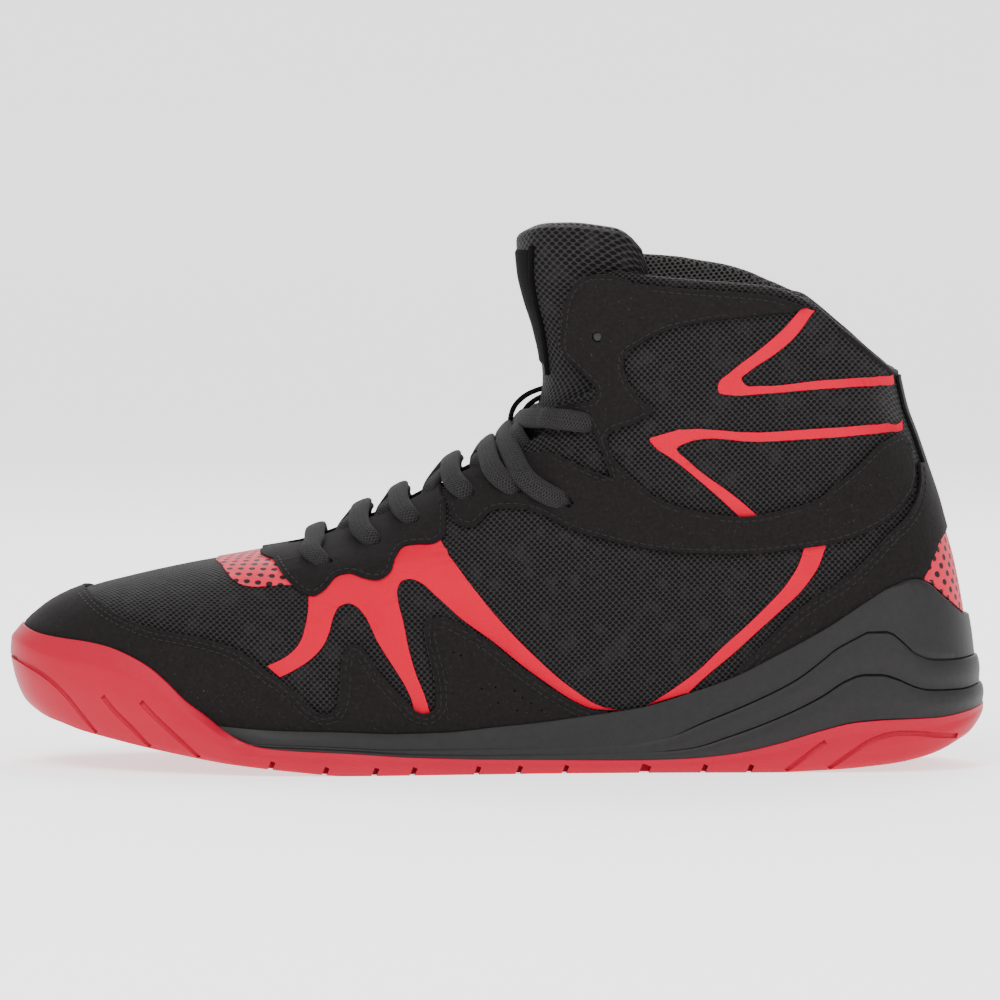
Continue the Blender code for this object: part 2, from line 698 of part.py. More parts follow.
def plate(name, outline, low, high, material):
    """A thin panel between two offsets of the upper's skin, cut along the upper's own facets."""
    bm = bmesh.new()
    bm.faces.new([bm.verts.new((v, t, 0)) for v, t in outline])
    first = math.floor(min(v for v, t in outline) * COLUMNS / 2)
    final = math.ceil(max(v for v, t in outline) * COLUMNS / 2)
    cuts = [((2 * j / COLUMNS, 0, 0), (1, 0, 0)) for j in range(first, final + 1)]
    cuts += [((0, t, 0), (0, 1, 0)) for t in ROWS]
    for place, normal in cuts:
        everything = bm.verts[:] + bm.edges[:] + bm.faces[:]
        bmesh.ops.bisect_plane(bm, geom=everything, dist=SNAP, plane_co=place, plane_no=normal)
    bmesh.ops.triangulate(bm, faces=bm.faces)
    raised = bmesh.ops.extrude_face_region(bm, geom=bm.faces[:])["geom"]
    upper_face = {vert for vert in raised if isinstance(vert, bmesh.types.BMVert)}
    for vert in bm.verts:
        vert.co = facet(vert.co.x, vert.co.y, high if vert in upper_face else low)
    return piece(name, bm, material)


def make_panels(suede, red_film, red_mesh):
    """Suede overlays and red panels that lie on the upper."""
    low, high, film = GAP, GAP + SUEDE, GAP + FILM
    guard = [(0, level(*GUARD_FRONT))] + side_edge(GUARD_EDGE)
    guard_end = GUARD_EDGE.x[-1] + 1
    guard += along_sole(chart(guard_end, sole_line(guard_end))[0], 0)
    plate("toe_guard", across_front(guard), low, high, suede)

    vamp = [(0, level(*VAMP_FRONT))] + side_edge(VAMP_EDGE) + [(0, level(*VAMP_BACK))]
    plate("vamp_panel", across_front(vamp), low, film, red_mesh)

    eyestay = [(0, level(*EYESTAY_FRONT))] + side_edge(EYESTAY_EDGE)
    eyestay += [(SLIT, EYESTAY_END), (SLIT, THROAT_LEVEL)]
    plate("eyestay", across_front(eyestay), low, high, suede)

    frame = side_edge(FRAME_EDGE)
    frame += [(frame[-1][0], COLLAR_BAND), (SLIT, COLLAR_BAND)]
    frame += side_edge(NOTCH_EDGE) + [(SLIT, FRAME_START)]
    plate("ankle_frame_outer", frame, low, high, suede)
    plate("ankle_frame_inner", mirrored(frame), low, high, suede)

    base = 1 - PANEL_HALF_BASE
    panel_top = level(PANEL_X, PANEL_TOP)
    counter = [(1, COLLAR_BAND), (1 - STRIP_HALF, COLLAR_BAND), (1 - STRIP_HALF, STRIP_START)]
    counter += list(reversed(side_edge(COUNTER_EDGE)))
    counter += along_sole(chart(COUNTER_EDGE.x[0] + 1, sole_line(COUNTER_EDGE.x[0] + 1))[0], base - JOINT)
    counter += [(1 - PANEL_HALF_TOP - JOINT, panel_top + JOINT), (1, panel_top + JOINT)]
    plate("heel_counter", across_back(counter), low, high, suede)
    panel = [(1, panel_top), (1 - PANEL_HALF_TOP, panel_top)] + along_sole(base, 1)
    plate("heel_panel", across_back(panel), low, film, red_mesh)

    trims = {"claw": CLAW_EDGE, "upper_v": UPPER_V_EDGE, "lower_v": LOWER_V_EDGE, "rear_stripe": REAR_EDGE}
    for name, edge in trims.items():
        outline = side_edge(edge)
        plate(name + "_outer", outline, low, film, red_film)
        plate(name + "_inner", mirrored(outline), low, film, red_film)


LABEL = table("level half_width", (0.785, 12), (0.9, 15), (1.035, 19))
LABEL_THICKNESS = 0.6
LABEL_COLUMNS = 4


def make_label(material):
    """A plain woven patch on the front of the tongue."""
    bm = bmesh.new()
    bottom, top = LABEL.level[0], LABEL.level[-1]
    levels = [bottom] + [t for t in ROWS if bottom < t < top] + [top]
    reach = curve(LABEL.level, LABEL.half_width)
    layers = []
    for lift in (GAP, GAP + LABEL_THICKNESS):
        rows = []
        for t in levels:
            row = []
            for k in range(LABEL_COLUMNS + 1):
                turn = (2 * k / LABEL_COLUMNS - 1) * turn_at(reach(t), t)
                row.append(bm.verts.new(lifted(turn, t, lift - WALL - TONGUE_CLEARANCE)))
            rows.append(row)
        layers.append(rows)
    slab(bm, layers)
    piece("tongue_label", bm, material)


# Eyelets of the outer side, and the level at which the lace to each one crosses the ridge
LACING = table(
    "x z crossing",
    (-52, 64, 0.412),
    (-37, 70, 0.437),
    (-25, 77, 0.487),
    (-8, 85, 0.537),
    (7, 87, 0.585),
    (22, 83, 0.625),
    (30, 107, 0.690),
)
LACE_STEPS = 5
LACE_CORNERS = ((-0.5, -0.35), (0.5, -0.35), (0.4, 0.5), (-0.4, 0.5))
LACE_LIFT = GAP + SUEDE + LACE_CLEARANCE + LACE_THICKNESS / 2
LACE_OVER = 0.5              # upper strand of a crossing: its extra lift at the eyelets and over the ridge
LACE_HUMP = 1.3


def strand(name, start, crossing, end, over, material):
    """A flat run of lace from an outer eyelet over the ridge to an inner one; over is 1 on top of a pair."""
    bm = bmesh.new()
    middle = start[0] / (start[0] + end[0])
    through = curve((0, middle, 1), (start[1], crossing, end[1]))
    path = []
    for i in range(LACE_STEPS + 1):
        s = i / LACE_STEPS
        turn = lerp(start[0], -end[0], s)
        lift = LACE_LIFT + over * (LACE_OVER + LACE_HUMP * math.sin(math.pi * s))
        path.append((lifted(turn, through(s), lift), lifted(turn, through(s), lift + 1)))
    loops = []
    for i, (point, above) in enumerate(path):
        up = above - point
        along = path[min(i + 1, LACE_STEPS)][0] - path[max(i - 1, 0)][0]
        side = along.cross(up).normalized()
        corners = [side * across * LACE_WIDTH + up * tall * LACE_THICKNESS for across, tall in LACE_CORNERS]
        loops.append([bm.verts.new(point + corner) for corner in corners])
    for low, high in zip(loops, loops[1:]):
        for k in range(len(LACE_CORNERS)):
            m = (k + 1) % len(LACE_CORNERS)
            bm.faces.new((low[k], low[m], high[m], high[k]))
    bm.faces.new(loops[0])
    bm.faces.new(loops[-1])
    bmesh.ops.triangulate(bm, faces=bm.faces)
    return piece(name, bm, material)


def make_lace(material):
    """Flat lace: a first bar, then a crossing up to each pair of eyelets, joined into one solid."""
    eyelets = []
    for x, z in zip(LACING.x, LACING.z):
        v, t = chart(x, z)
        eyelets.append((turn_of(v, t), t))
    lace = strand("lace", eyelets[0], LACING.crossing[0], eyelets[0], 0.5, material)
    runs = bpy.data.collections.new("lace_runs")
    for k in range(1, len(eyelets)):
        under = strand(f"lace_under_{k}", eyelets[k], LACING.crossing[k], eyelets[k - 1], 0, material)
        over = strand(f"lace_over_{k}", eyelets[k - 1], LACING.crossing[k], eyelets[k], 1, material)
        for run in (under, over):
            run.hide_render = True
            run.display_type = "WIRE"
            runs.objects.link(run)
    join = lace.modifiers.new("join", "BOOLEAN")
    join.operation = "UNION"
    join.operand_type = "COLLECTION"
    join.collection = runs


def build():
    for thing in list(bpy.data.objects):
        bpy.data.objects.remove(thing)
    red_rubber = finish("red_rubber", (0.62, 0.07, 0.09), 0.5)
    charcoal_foam = finish("charcoal_foam", (0.04, 0.04, 0.042), 0.6)
    black_mesh = finish("black_mesh", (0.015, 0.015, 0.017), 0.85)
    black_lining = finish("black_lining", (0.02, 0.02, 0.022), 0.9)
    black_suede = finish("black_suede", (0.02, 0.019, 0.019), 0.95)
    red_film = finish("red_film", (0.75, 0.05, 0.08), 0.35)
    red_mesh = finish("red_mesh", (0.8, 0.13, 0.16), 0.6)
    black_lace = finish("black_lace", (0.025, 0.025, 0.025), 0.9)
    make_outsole(red_rubber)
    make_midsole(charcoal_foam)
    make_insole(black_lining)
    make_upper(black_mesh)
    make_tongue(black_mesh)
    make_label(black_lace)
    make_panels(black_suede, red_film, red_mesh)
    make_lace(black_lace)


build()
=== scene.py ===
import math
from collections import namedtuple

import bmesh
import bpy
import numpy as np
from mathutils import Matrix, Vector
from mathutils.bvhtree import BVHTree


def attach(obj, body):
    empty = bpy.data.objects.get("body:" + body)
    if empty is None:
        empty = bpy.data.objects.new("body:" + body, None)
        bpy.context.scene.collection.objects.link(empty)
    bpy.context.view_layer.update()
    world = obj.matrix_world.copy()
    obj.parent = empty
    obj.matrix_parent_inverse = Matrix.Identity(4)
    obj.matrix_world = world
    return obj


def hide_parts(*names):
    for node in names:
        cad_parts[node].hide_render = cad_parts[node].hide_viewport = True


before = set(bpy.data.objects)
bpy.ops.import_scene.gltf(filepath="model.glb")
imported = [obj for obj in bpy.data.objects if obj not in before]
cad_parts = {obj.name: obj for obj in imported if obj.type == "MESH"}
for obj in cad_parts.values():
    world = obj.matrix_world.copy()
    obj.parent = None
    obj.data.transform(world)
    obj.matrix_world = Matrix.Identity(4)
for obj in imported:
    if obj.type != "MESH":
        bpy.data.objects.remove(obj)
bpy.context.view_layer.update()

# Studio
# The shoe stands on a sweep of pale paper under three soft boxes, and a long lens looks at its outer side from
# almost level. The paper glows, so that it stays pale behind the black shoe.
VIEW_DISTANCE = 2.4
VIEW_RISE = math.radians(3)
VIEW_CENTRE = Vector((0.0009, 0, 0.081))
VIEW_WIDTH = 0.307           # what the picture takes in at the shoe's middle
SENSOR = 36
PAPER_HALF, PAPER_BEND = 30, 20      # half its width, and the bend where it turns up


def add(name, data):
    """A new object in the scene."""
    thing = bpy.data.objects.new(name, data)
    bpy.context.collection.objects.link(thing)
    return thing


towards_camera = Vector((0, -math.cos(VIEW_RISE), math.sin(VIEW_RISE)))
camera = add("camera", bpy.data.cameras.new("camera"))
camera.data.sensor_width = SENSOR
camera.data.lens = SENSOR * VIEW_DISTANCE / VIEW_WIDTH
camera.location = VIEW_CENTRE + towards_camera * VIEW_DISTANCE
camera.rotation_euler = towards_camera.to_track_quat("Z", "Y").to_euler()
bpy.context.scene.camera = camera


def soft_box(name, spot, size, power):
    lamp = add(name, bpy.data.lights.new(name, "AREA"))
    lamp.data.size = size
    lamp.data.energy = power
    lamp.location = spot
    lamp.rotation_euler = (Vector(spot) - VIEW_CENTRE).to_track_quat("Z", "Y").to_euler()


soft_box("key_light", (-0.5, -0.9, 1.3), 0.8, 20)
soft_box("fill_light", (0.9, -1.1, 0.8), 0.9, 8)
soft_box("back_light", (0.2, 1.0, 1.2), 0.9, 16)
world = bpy.context.scene.world = bpy.data.worlds.new("studio")
world.use_nodes = True
sky = world.node_tree.nodes["Background"]
sky.inputs["Color"].default_value = (1, 1, 1, 1)
sky.inputs["Strength"].default_value = 0.8


def node(tree, kind, inputs=(), **settings):
    """A shader node with its settings, and its sockets set or linked."""
    made = tree.nodes.new("ShaderNode" + kind)
    for name, value in settings.items():
        setattr(made, name, value)
    for key, value in dict(inputs).items():
        if isinstance(value, bpy.types.NodeSocket):
            tree.links.new(value, made.inputs[key])
        else:
            made.inputs[key].default_value = value
    return made


def new_finish(name, roughness, gloss, sheen=0):
    """A material of one roughness, gloss and sheen: itself, its node tree and its shader."""
    made = bpy.data.materials.new(name)
    made.use_nodes = True
    shader = made.node_tree.nodes["Principled BSDF"]
    shader.inputs["Roughness"].default_value = roughness
    shader.inputs["Specular IOR Level"].default_value = gloss
    shader.inputs["Sheen Weight"].default_value = sheen
    return made, made.node_tree, shader


def noise(tree, scale, detail=3):
    place = node(tree, "TexCoord").outputs["Object"]
    return node(tree, "TexNoise", {"Vector": place, "Scale": scale, "Detail": detail}).outputs["Fac"]


def tint(tree, share, low, high):
    """A colour between two, by a share; each is a colour or a socket."""
    low, high = (end if isinstance(end, bpy.types.NodeSocket) else (*end, 1) for end in (low, high))
    return node(tree, "Mix", {0: share, 6: low, 7: high}, data_type="RGBA").outputs[2]


def paint(shader, colour):
    shader.id_data.links.new(colour, shader.inputs["Base Color"])


def relief(tree, shader, height, distance, strength):
    """Bumps on a shader from a height, over those that it has."""
    made = node(tree, "Bump", {"Height": height, "Distance": distance, "Strength": strength})
    for under in [link.from_socket for link in shader.inputs["Normal"].links]:
        tree.links.new(under, made.inputs["Normal"])
    tree.links.new(made.outputs["Normal"], shader.inputs["Normal"])


def mottled(name, roughness, gloss, speckle, low, high, *bumps):
    """A finish of two colours mixed by noise of a scale and detail, with bumps of noise."""
    made, tree, shader = new_finish(name, roughness, gloss)
    paint(shader, tint(tree, noise(tree, *speckle), low, high))
    for scale, detail, distance, strength in bumps:
        relief(tree, shader, noise(tree, scale, detail), distance, strength)
    return made


def new_verts(made):
    return [item for item in made["geom"] if isinstance(item, bmesh.types.BMVert)]


def bevel(bm, edges, offset, segments):
    bmesh.ops.bevel(bm, geom=edges, offset=offset, offset_type="OFFSET", segments=segments, profile=0.5,
                    affect="EDGES", material=-1)


def mesh_of(name, bm):
    """The mesh that a bmesh ends as."""
    mesh = bpy.data.meshes.new(name)
    bm.to_mesh(mesh)
    bm.free()
    return mesh


floor_finish = mottled("floor_paper", 0.8, 0.3, (3,), (0.87, 0.87, 0.87), (0.9, 0.9, 0.9))
shader = floor_finish.node_tree.nodes["Principled BSDF"]
shader.inputs["Emission Color"].default_value = (1, 1, 1, 1)
shader.inputs["Emission Strength"].default_value = 1.2
floor_finish.cycles.emission_sampling = "NONE"
bm = bmesh.new()
bmesh.ops.create_grid(bm, x_segments=1, y_segments=1, size=PAPER_HALF)
far_edge = [side for side in bm.edges if all(vert.co.y > 0 for vert in side.verts)]
raised = new_verts(bmesh.ops.extrude_edge_only(bm, edges=far_edge))
bmesh.ops.translate(bm, verts=raised, vec=(0, 0, PAPER_HALF))
bevel(bm, far_edge, PAPER_BEND, 24)
mesh = mesh_of("floor", bm)
mesh.shade_smooth()
mesh.materials.append(floor_finish)
floor = add("floor", mesh)

# Upper
# A bootee of black open mesh over a mesh lining, padded round the ankle and rolled over at the collar.
# It is cut in two halves, sewn up the heel and pulled over a last, which gives all the shoe its shape.
MM = 0.001                   # sizes and tables from here on are in millimetres
OUTSOLE_LENGTH = 300.0
WALL = 2.2                   # mesh with its lining
COLLAR_PADDING = 2.8         # added to the wall round the ankle opening
COLLAR_ROUND = 1.6
LIP_ROUND = 0.3              # of a mesh step, at the throat's edge
FEATHER_INSET = 6.0          # bottom edge of the upper, in from the sole's outline
CORNER_DROP, CORNER_REACH = 0.02, 0.12    # front corners of the collar, below its top line, and how far back
COLLAR_START = 0.83          # level at which the wall starts to follow the collar's tilt
COLLAR_TILT = 0.016          # collar's outer side below the top line, and its inner side above it
TOE_SWING = 9.0              # toe tip, off the heel's centre line
TOE_ROUND, HEEL_ROUND = 2.2, 2.1
THROAT_LEVEL = 0.39          # where the throat starts, as a share of the upper's height
THROAT_FADE, FADE_LIMIT = 0.6, 8          # how soon the columns even out away from the throat
UPPER_COLUMNS = 200


def chain(*parts):
    return np.concatenate(parts)


def table(columns, *rows):
    """A short table as named columns."""
    return namedtuple("Table", columns)(*np.array(rows, float).T)


def curve(at, values):
    """A smooth curve through points that never swings past them."""
    order = np.argsort(at)
    at, values = np.asarray(at, float)[order], np.asarray(values, float)[order]
    step = np.diff(at)
    slope = np.diff(values) / step
    product = slope[:-1] * slope[1:]
    middle = np.where(product > 0, 2 * product / np.where(product > 0, slope[:-1] + slope[1:], 1), 0)
    tangent = chain(slope[:1], middle, slope[-1:])

    def value(x):
        x = np.clip(x, at[0], at[-1])
        i = np.clip(np.searchsorted(at, x, side="right") - 1, 0, len(step) - 1)
        s = (x - at[i]) / step[i]
        bend = tangent[i] * s * (1 - s) ** 2 - tangent[i + 1] * s * s * (1 - s)
        return values[i] + step[i] * bend + (values[i + 1] - values[i]) * s * s * (3 - 2 * s)

    return value


def profile(*points):
    """A smooth curve through points of a place and a value."""
    return curve(*np.array(points, float).T)


def ease(start, end, x):
    s = np.clip((np.asarray(x, float) - start) / (end - start), 0, 1)
    return s * s * (3 - 2 * s)


def lerp(a, b, share):
    return a + (b - a) * share


def nose(a, power):
    """Share of the full width at a share of the way along a rounded end."""
    return (1 - (1 - np.clip(a, 0, 1)) ** power) ** (1 / power)


# Half widths of the sole in plan
PLAN = table(
    "x outer inner",
    (150, 36.5, 35.0), (100, 36.5, 34.0), (60, 36.0, 31.0), (25, 38.0, 29.5), (-10, 43.5, 33.0),
    (-45, 49.5, 41.0), (-75, 52.5, 45.2), (-100, 53.0, 45.6), (-150, 52.0, 44.5),
)
# Lines of the side view: the upper's bottom edge, its top line, its front ridge and its heel
feather = profile(
    (-146, 28), (-122, 19.6), (-97, 14), (-60, 11), (-30, 10.6), (0, 12), (60, 16.5), (100, 20), (143, 21),
)
topline = profile(
    (-150, 153), (18, 153), (44, 150.5), (80, 148), (93, 144), (108, 132.5), (117, 124.5), (122, 121),
    (150, 120),
)
RIDGE = table(
    "x z",
    (-143.5, 27), (-146.2, 34.5), (-145, 41.5), (-140.5, 46.3), (-134.5, 50.3), (-125.5, 54), (-110, 58),
    (-97.6, 60.8), (-85, 63.2), (-73, 65.4), (-60.7, 67.6), (-48.4, 72), (-30, 80), (-17.6, 87),
    (-5.2, 94.5), (4, 103), (9.5, 112), (11.5, 122), (9.5, 133), (6.5, 142.5), (4.5, 151.5), (3.8, 162),
    (4.0, 172),
)
HEEL = table(
    "x z",
    (143, 21), (144, 34), (143, 46), (141.6, 54.5), (139.6, 64), (137, 73), (134.5, 82), (131.3, 91.5),
    (128, 101), (124.6, 110), (122, 121),
)
# What shapes the sections, from the bottom edge up
SECTIONS = table(
    "level swell ankle_share ankle toe_outer toe_inner heel",
    (0.00, 0.0, 0.00, 31.0, 88, 58, 34),
    (0.08, 2.2, 0.00, 31.0, 88, 58, 34),
    (0.18, 2.4, 0.06, 31.0, 84, 60, 34),
    (0.30, 1.4, 0.30, 31.5, 78, 62, 34),
    (0.42, 0.4, 0.62, 32.0, 66, 60, 34),
    (0.55, 0.0, 0.92, 32.5, 48, 48, 33),
    (0.70, 0.0, 1.00, 32.5, 38, 38, 33),
    (0.85, 0.0, 1.00, 32.5, 36, 36, 33),
    (1.00, 0.0, 1.00, 34.5, 38, 38, 36),
    (1.15, 0.0, 1.00, 36.0, 38, 38, 36),
)
# Half width of the throat's opening, up from where it starts
half_gap = profile(
    (0.39, 3), (0.402, 8), (0.43, 10), (0.5, 12), (0.54, 13.5), (0.6, 18.5), (0.635, 22.6), (0.67, 22.4),
    (0.692, 21.6), (0.705, 23), (0.72, 26.6), (0.734, 28.7), (0.75, 28.8), (0.764, 27.9), (0.78, 26.1),
    (0.798, 24), (0.815, 22.5), (0.833, 22.1), (0.853, 22.8), (0.883, 24.4), (0.913, 26.1), (0.94, 27.5),
    (0.961, 28.9), (0.979, 30.3), (0.99, 31.4), (1, 33),
)
# How far the collar's inner side sinks below its tilted line, from the front corner to the heel
inner_sink = profile(
    (0, 0), (0.08, -0.012), (0.155, -0.019), (0.24, -0.0175), (0.32, -0.0137), (0.375, -0.0073),
    (0.44, -0.0005), (0.5, 0.011), (0.555, 0.026), (0.605, 0.029), (0.645, 0.02), (0.72, 0.014), (0.85, 0.006),
    (1, 0),
)
# Soft folds and swellings of the skin, as lines of the side view
FOLDS = (
    (33, 92, 17, 106, 1.3, 0.9),
    (31, 91, 15, 101, 1.2, 0.8),
    (33, 95, 21, 108, 1.1, 0.7),
    (62, 112, 106, 114, 13, 1.0),
    (64, 92, 104, 98, 7, 0.7),
    (58, 76, 110, 78, 6, 0.6),
    (-104, 49, -60, 46, 8, 0.5),
    (-58, 60, -47, 36, 6, -0.5),
)
plan_outer, plan_inner = curve(PLAN.x, PLAN.outer), curve(PLAN.x, PLAN.inner)
swell, ankle_share, ankle, toe_outer, toe_inner, heel_length = (
    curve(SECTIONS.level, column) for column in SECTIONS[1:]
)


def centre(x):
    """Centre line of the foot in plan, swinging in at the toe."""
    return TOE_SWING * ease(-30, -OUTSOLE_LENGTH / 2, x)


def level(x, z):
    return (z - feather(x)) / (topline(x) - feather(x))


front = curve(level(RIDGE.x, RIDGE.z), RIDGE.x)
back = curve(level(HEEL.x, HEEL.z), HEEL.x)


def at_station(x, t, outer):
    """Point of the skin at a place along the shoe and a level up it."""
    toe = np.where(outer, toe_outer(t), toe_inner(t))
    rounding = nose((x - front(t)) / toe, TOE_ROUND) * nose((back(t) - x) / heel_length(t), HEEL_ROUND)
    low = np.where(outer, plan_outer(x), plan_inner(x)) - FEATHER_INSET + swell(t)
    y = centre(x) + np.where(outer, -1, 1) * lerp(low, ankle(t), ankle_share(t)) * rounding
    return np.stack(np.broadcast_arrays(x, y, feather(x) + t * (topline(x) - feather(x))), -1)


def last(turn, t):
    """Point of the skin: turn 0 is the ridge, 1 the heel, positive on the outer side."""
    turn = (np.asarray(turn, float) + 1) % 2 - 1
    x = lerp(front(t), back(t), (1 - np.cos(np.pi * np.abs(turn))) / 2)
    return at_station(x, t, turn >= 0)


def folded(points):
    """Height of the soft folds at points of the skin."""
    total = np.zeros(points.shape[:-1])
    for x0, z0, x1, z1, width, height in FOLDS:
        run = np.array((x1 - x0, z1 - z0))
        away = points[..., [0, 2]] - (x0, z0)
        share = np.clip(away @ run / (run @ run), 0, 1)
        gap = np.linalg.norm(away - share[..., None] * run, axis=-1)
        total += height * np.exp(-(gap / width) ** 2)
    return total


def unit(vectors):
    return vectors / np.linalg.norm(vectors, axis=-1, keepdims=True)


def lifted(turn, t, offset):
    """Point off the skin along its outward normal."""
    turn, t = np.broadcast_arrays(np.asarray(turn, float), np.asarray(t, float))
    step = 0.004
    along = last(turn + step, t) - last(turn - step, t)
    up = last(turn, t + step) - last(turn, t - step)
    outward = unit(np.cross(along, up))
    point = last(turn, t)
    return point + outward * np.asarray(offset + folded(point))[..., None]


def turn_at(reach, t):
    """Turn at which the skin is a given distance off the centre line, at the front."""
    low = plan_outer(front(t)) - FEATHER_INSET + swell(t)
    share = np.minimum(reach / lerp(low, ankle(t), ankle_share(t)), 1)
    along = (1 - (1 - share ** TOE_ROUND) ** (1 / TOE_ROUND)) * toe_outer(t)
    return np.arccos(1 - 2 * along / (back(t) - front(t))) / np.pi


def throat_turn(t):
    return np.where(np.asarray(t) > THROAT_LEVEL, turn_at(half_gap(t), t), 0)


def place(v, t):
    """Turn and level of a column: v is 0 at the ridge or the throat's edge, 1 at the heel, 2 back again."""
    v, t = np.broadcast_arrays(np.asarray(v, float), np.asarray(t, float))
    share = np.minimum(v, 2 - v)
    edge = throat_turn(t)
    power = np.minimum(THROAT_FADE / np.maximum(edge, 0.002), FADE_LIMIT)
    turn = share + edge * (1 - share) ** power
    drop = CORNER_DROP * (1 - ease(0, CORNER_REACH, share)) + COLLAR_TILT * np.sin(np.pi * v)
    drop = (drop + np.where(v > 1, inner_sink(share), 0)) * ease(COLLAR_START, 1, t)
    return np.where(v <= 1, turn, -turn), t - drop


def girth(turn, t):
    """Length up the wall from the feather edge, which keeps a weave even."""
    points = last(turn, t)
    shares = np.linspace(0, 1, 17).reshape(-1, *[1] * points[..., 0].ndim)
    outer = (np.asarray(turn) + 1) % 2 - 1 >= 0
    stations = at_station(points[..., 0][None], shares * t, outer[None])
    return points[..., 0], np.linalg.norm(np.diff(stations, axis=0), axis=-1).sum(0)


def loft(rows, weave=None, finishes=None):
    """A mesh through rows of points, with the weave's place and each band's finish."""
    rows = np.asarray(rows)
    count, width = rows.shape[:2]
    bm = bmesh.new()
    bmesh.ops.create_grid(bm, x_segments=width - 1, y_segments=count - 1, size=0.5)
    flat = np.array([vert.co for vert in bm.verts])
    j = np.rint((flat[:, 0] + 0.5) * (width - 1)).astype(int)
    i = np.rint((flat[:, 1] + 0.5) * (count - 1)).astype(int)
    for vert, point in zip(bm.verts, rows[i, j] * MM):
        vert.co = point
    if finishes is not None:
        for face in bm.faces:
            face.material_index = int(finishes[min(i[vert.index] for vert in face.verts)])
    if weave is not None:
        layer = bm.loops.layers.uv.new("weave")
        for face in bm.faces:
            for corner in face.loops:
                corner[layer].uv = weave[i[corner.vert.index], j[corner.vert.index]] * MM
    bmesh.ops.remove_doubles(bm, verts=bm.verts, dist=1e-6)
    return bm


def show(name, bm, finishes, nodes, sharp=38):
    """Hand a mesh over as a named piece on the shoe's body."""
    bmesh.ops.dissolve_degenerate(bm, edges=bm.edges, dist=1e-7)
    bmesh.ops.recalc_face_normals(bm, faces=bm.faces)
    if bm.calc_volume(signed=True) < 0:
        bmesh.ops.reverse_faces(bm, faces=bm.faces)
    mesh = mesh_of(name, bm)
    mesh.shade_smooth()
    mesh.set_sharp_from_angle(angle=math.radians(sharp))
    for finish in finishes:
        mesh.materials.append(finish)
    thing = add(name, mesh)
    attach(thing, "root")
    if nodes:
        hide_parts(*nodes)
    return thing


def calc(tree, operation, *values):
    """A sum of sockets and numbers."""
    return node(tree, "Math", dict(enumerate(values)), operation=operation).outputs[0]


def holes(tree, pitch, row, wide, tall):
    """Distance from staggered holes of a weave, 1 at their rims."""
    spot = node(tree, "UVMap", uv_map="weave").outputs["UV"]
    parts = node(tree, "SeparateXYZ", {0: spot}).outputs
    layers = []
    for shift in (0, 0.5):
        squares = []
        for axis, period, size in ((0, pitch, wide), (1, 2 * row, tall)):
            share = calc(tree, "FRACT", calc(tree, "MULTIPLY_ADD", parts[axis], 1000 / period, shift))
            away = calc(tree, "MULTIPLY", calc(tree, "SUBTRACT", share, 0.5), 2 * period / size)
            squares.append(calc(tree, "POWER", away, 2))
        layers.append(calc(tree, "SQRT", calc(tree, "ADD", *squares)))
    return calc(tree, "MINIMUM", *layers)


def ramp(tree, value, low, high):
    """Smooth rise of a value from 0 at low to 1 at high."""
    made = node(tree, "MapRange", {"Value": value, "From Min": low, "From Max": high},
                interpolation_type="SMOOTHSTEP")
    return made.outputs["Result"]


def open_mesh(name, pitch, row, wide, tall, thread, behind):
    """Knitted mesh: fine threads round staggered holes, through which a second layer shows in patches."""
    made, tree, shader = new_finish(name, 0.7, 0.1, 0.02)
    away = holes(tree, pitch, row, wide, tall)
    yarn = tint(tree, noise(tree, 1500), [0.6 * c for c in thread], [1.4 * c for c in thread])
    layer = tint(tree, ramp(tree, noise(tree, 190, 2), 0.5, 0.7), (0.0006, 0.0006, 0.0006), behind)
    paint(shader, tint(tree, ramp(tree, away, 0.78, 1.25), layer, yarn))
    relief(tree, shader, noise(tree, 5000), 0.0001, 0.5)
    relief(tree, shader, ramp(tree, away, 0.6, 1.5), 0.0004, 0.8)
    return made


black_mesh = open_mesh("black_mesh", 1.9, 0.98, 1.25, 0.98, (0.0235, 0.021, 0.022), (0.0075, 0.0068, 0.0071))
lining_mesh = open_mesh("lining_mesh", 1.7, 1.1, 1.05, 0.9, (0.056, 0.053, 0.052), (0.014, 0.013, 0.013))


def wall(turn, t):
    """Thickness of the upper: padded round the ankle, thin along the throat."""
    return WALL + COLLAR_PADDING * ease(0.62, 0.9, t) * ease(0.32, 0.5, np.abs(turn))


# Rows of the mesh, close together where the throat starts
levels = chain(
    np.linspace(0, 0.37, 30), np.linspace(0.375, THROAT_LEVEL, 4), np.linspace(0.392, 0.42, 10),
    np.linspace(0.427, 1, 90),
)
v, t = np.meshgrid(np.linspace(0, 2, UPPER_COLUMNS + 1), levels)
turns, heights = place(v, t)
outside = lifted(turns, heights, 0.0)
inside = lifted(turns, heights, -wall(turns, heights))
middle = (outside + inside) / 2
rim = [lerp(outside[-1], inside[-1], share) + (0, 0, rise * COLLAR_ROUND)
       for share, rise in ((0.1, 0.5), (0.27, 0.87), (0.5, 1), (0.73, 0.87), (0.9, 0.5))]
weave = np.stack(girth(turns, heights), -1)
rolled = [weave[-1] + (0, step) for step in range(1, len(rim) + 1)]
lining = weave + (0, len(rim) + 1)
rows = chain(outside, rim, inside[::-1], outside[:1])
weaves = chain(weave, rolled, lining[::-1], weave[:1])
edges = []
opened = t[:, :1] > THROAT_LEVEL
for side, inner in ((0, 1), (-1, -2)):
    lips = middle[:, side] + (outside[:, side] - outside[:, inner]) * opened * LIP_ROUND
    lips = np.where(opened, lips, outside[:, side])
    inner_lips = np.where(opened, lips, inside[:, side])
    top = np.repeat(lips[-1:], len(rim), 0) + (0, 0, 0.6 * COLLAR_ROUND)
    edges.append(chain(lips, top, inner_lips[::-1], lips[:1])[:, None])
rows = np.concatenate([edges[0], rows, edges[1]], 1)
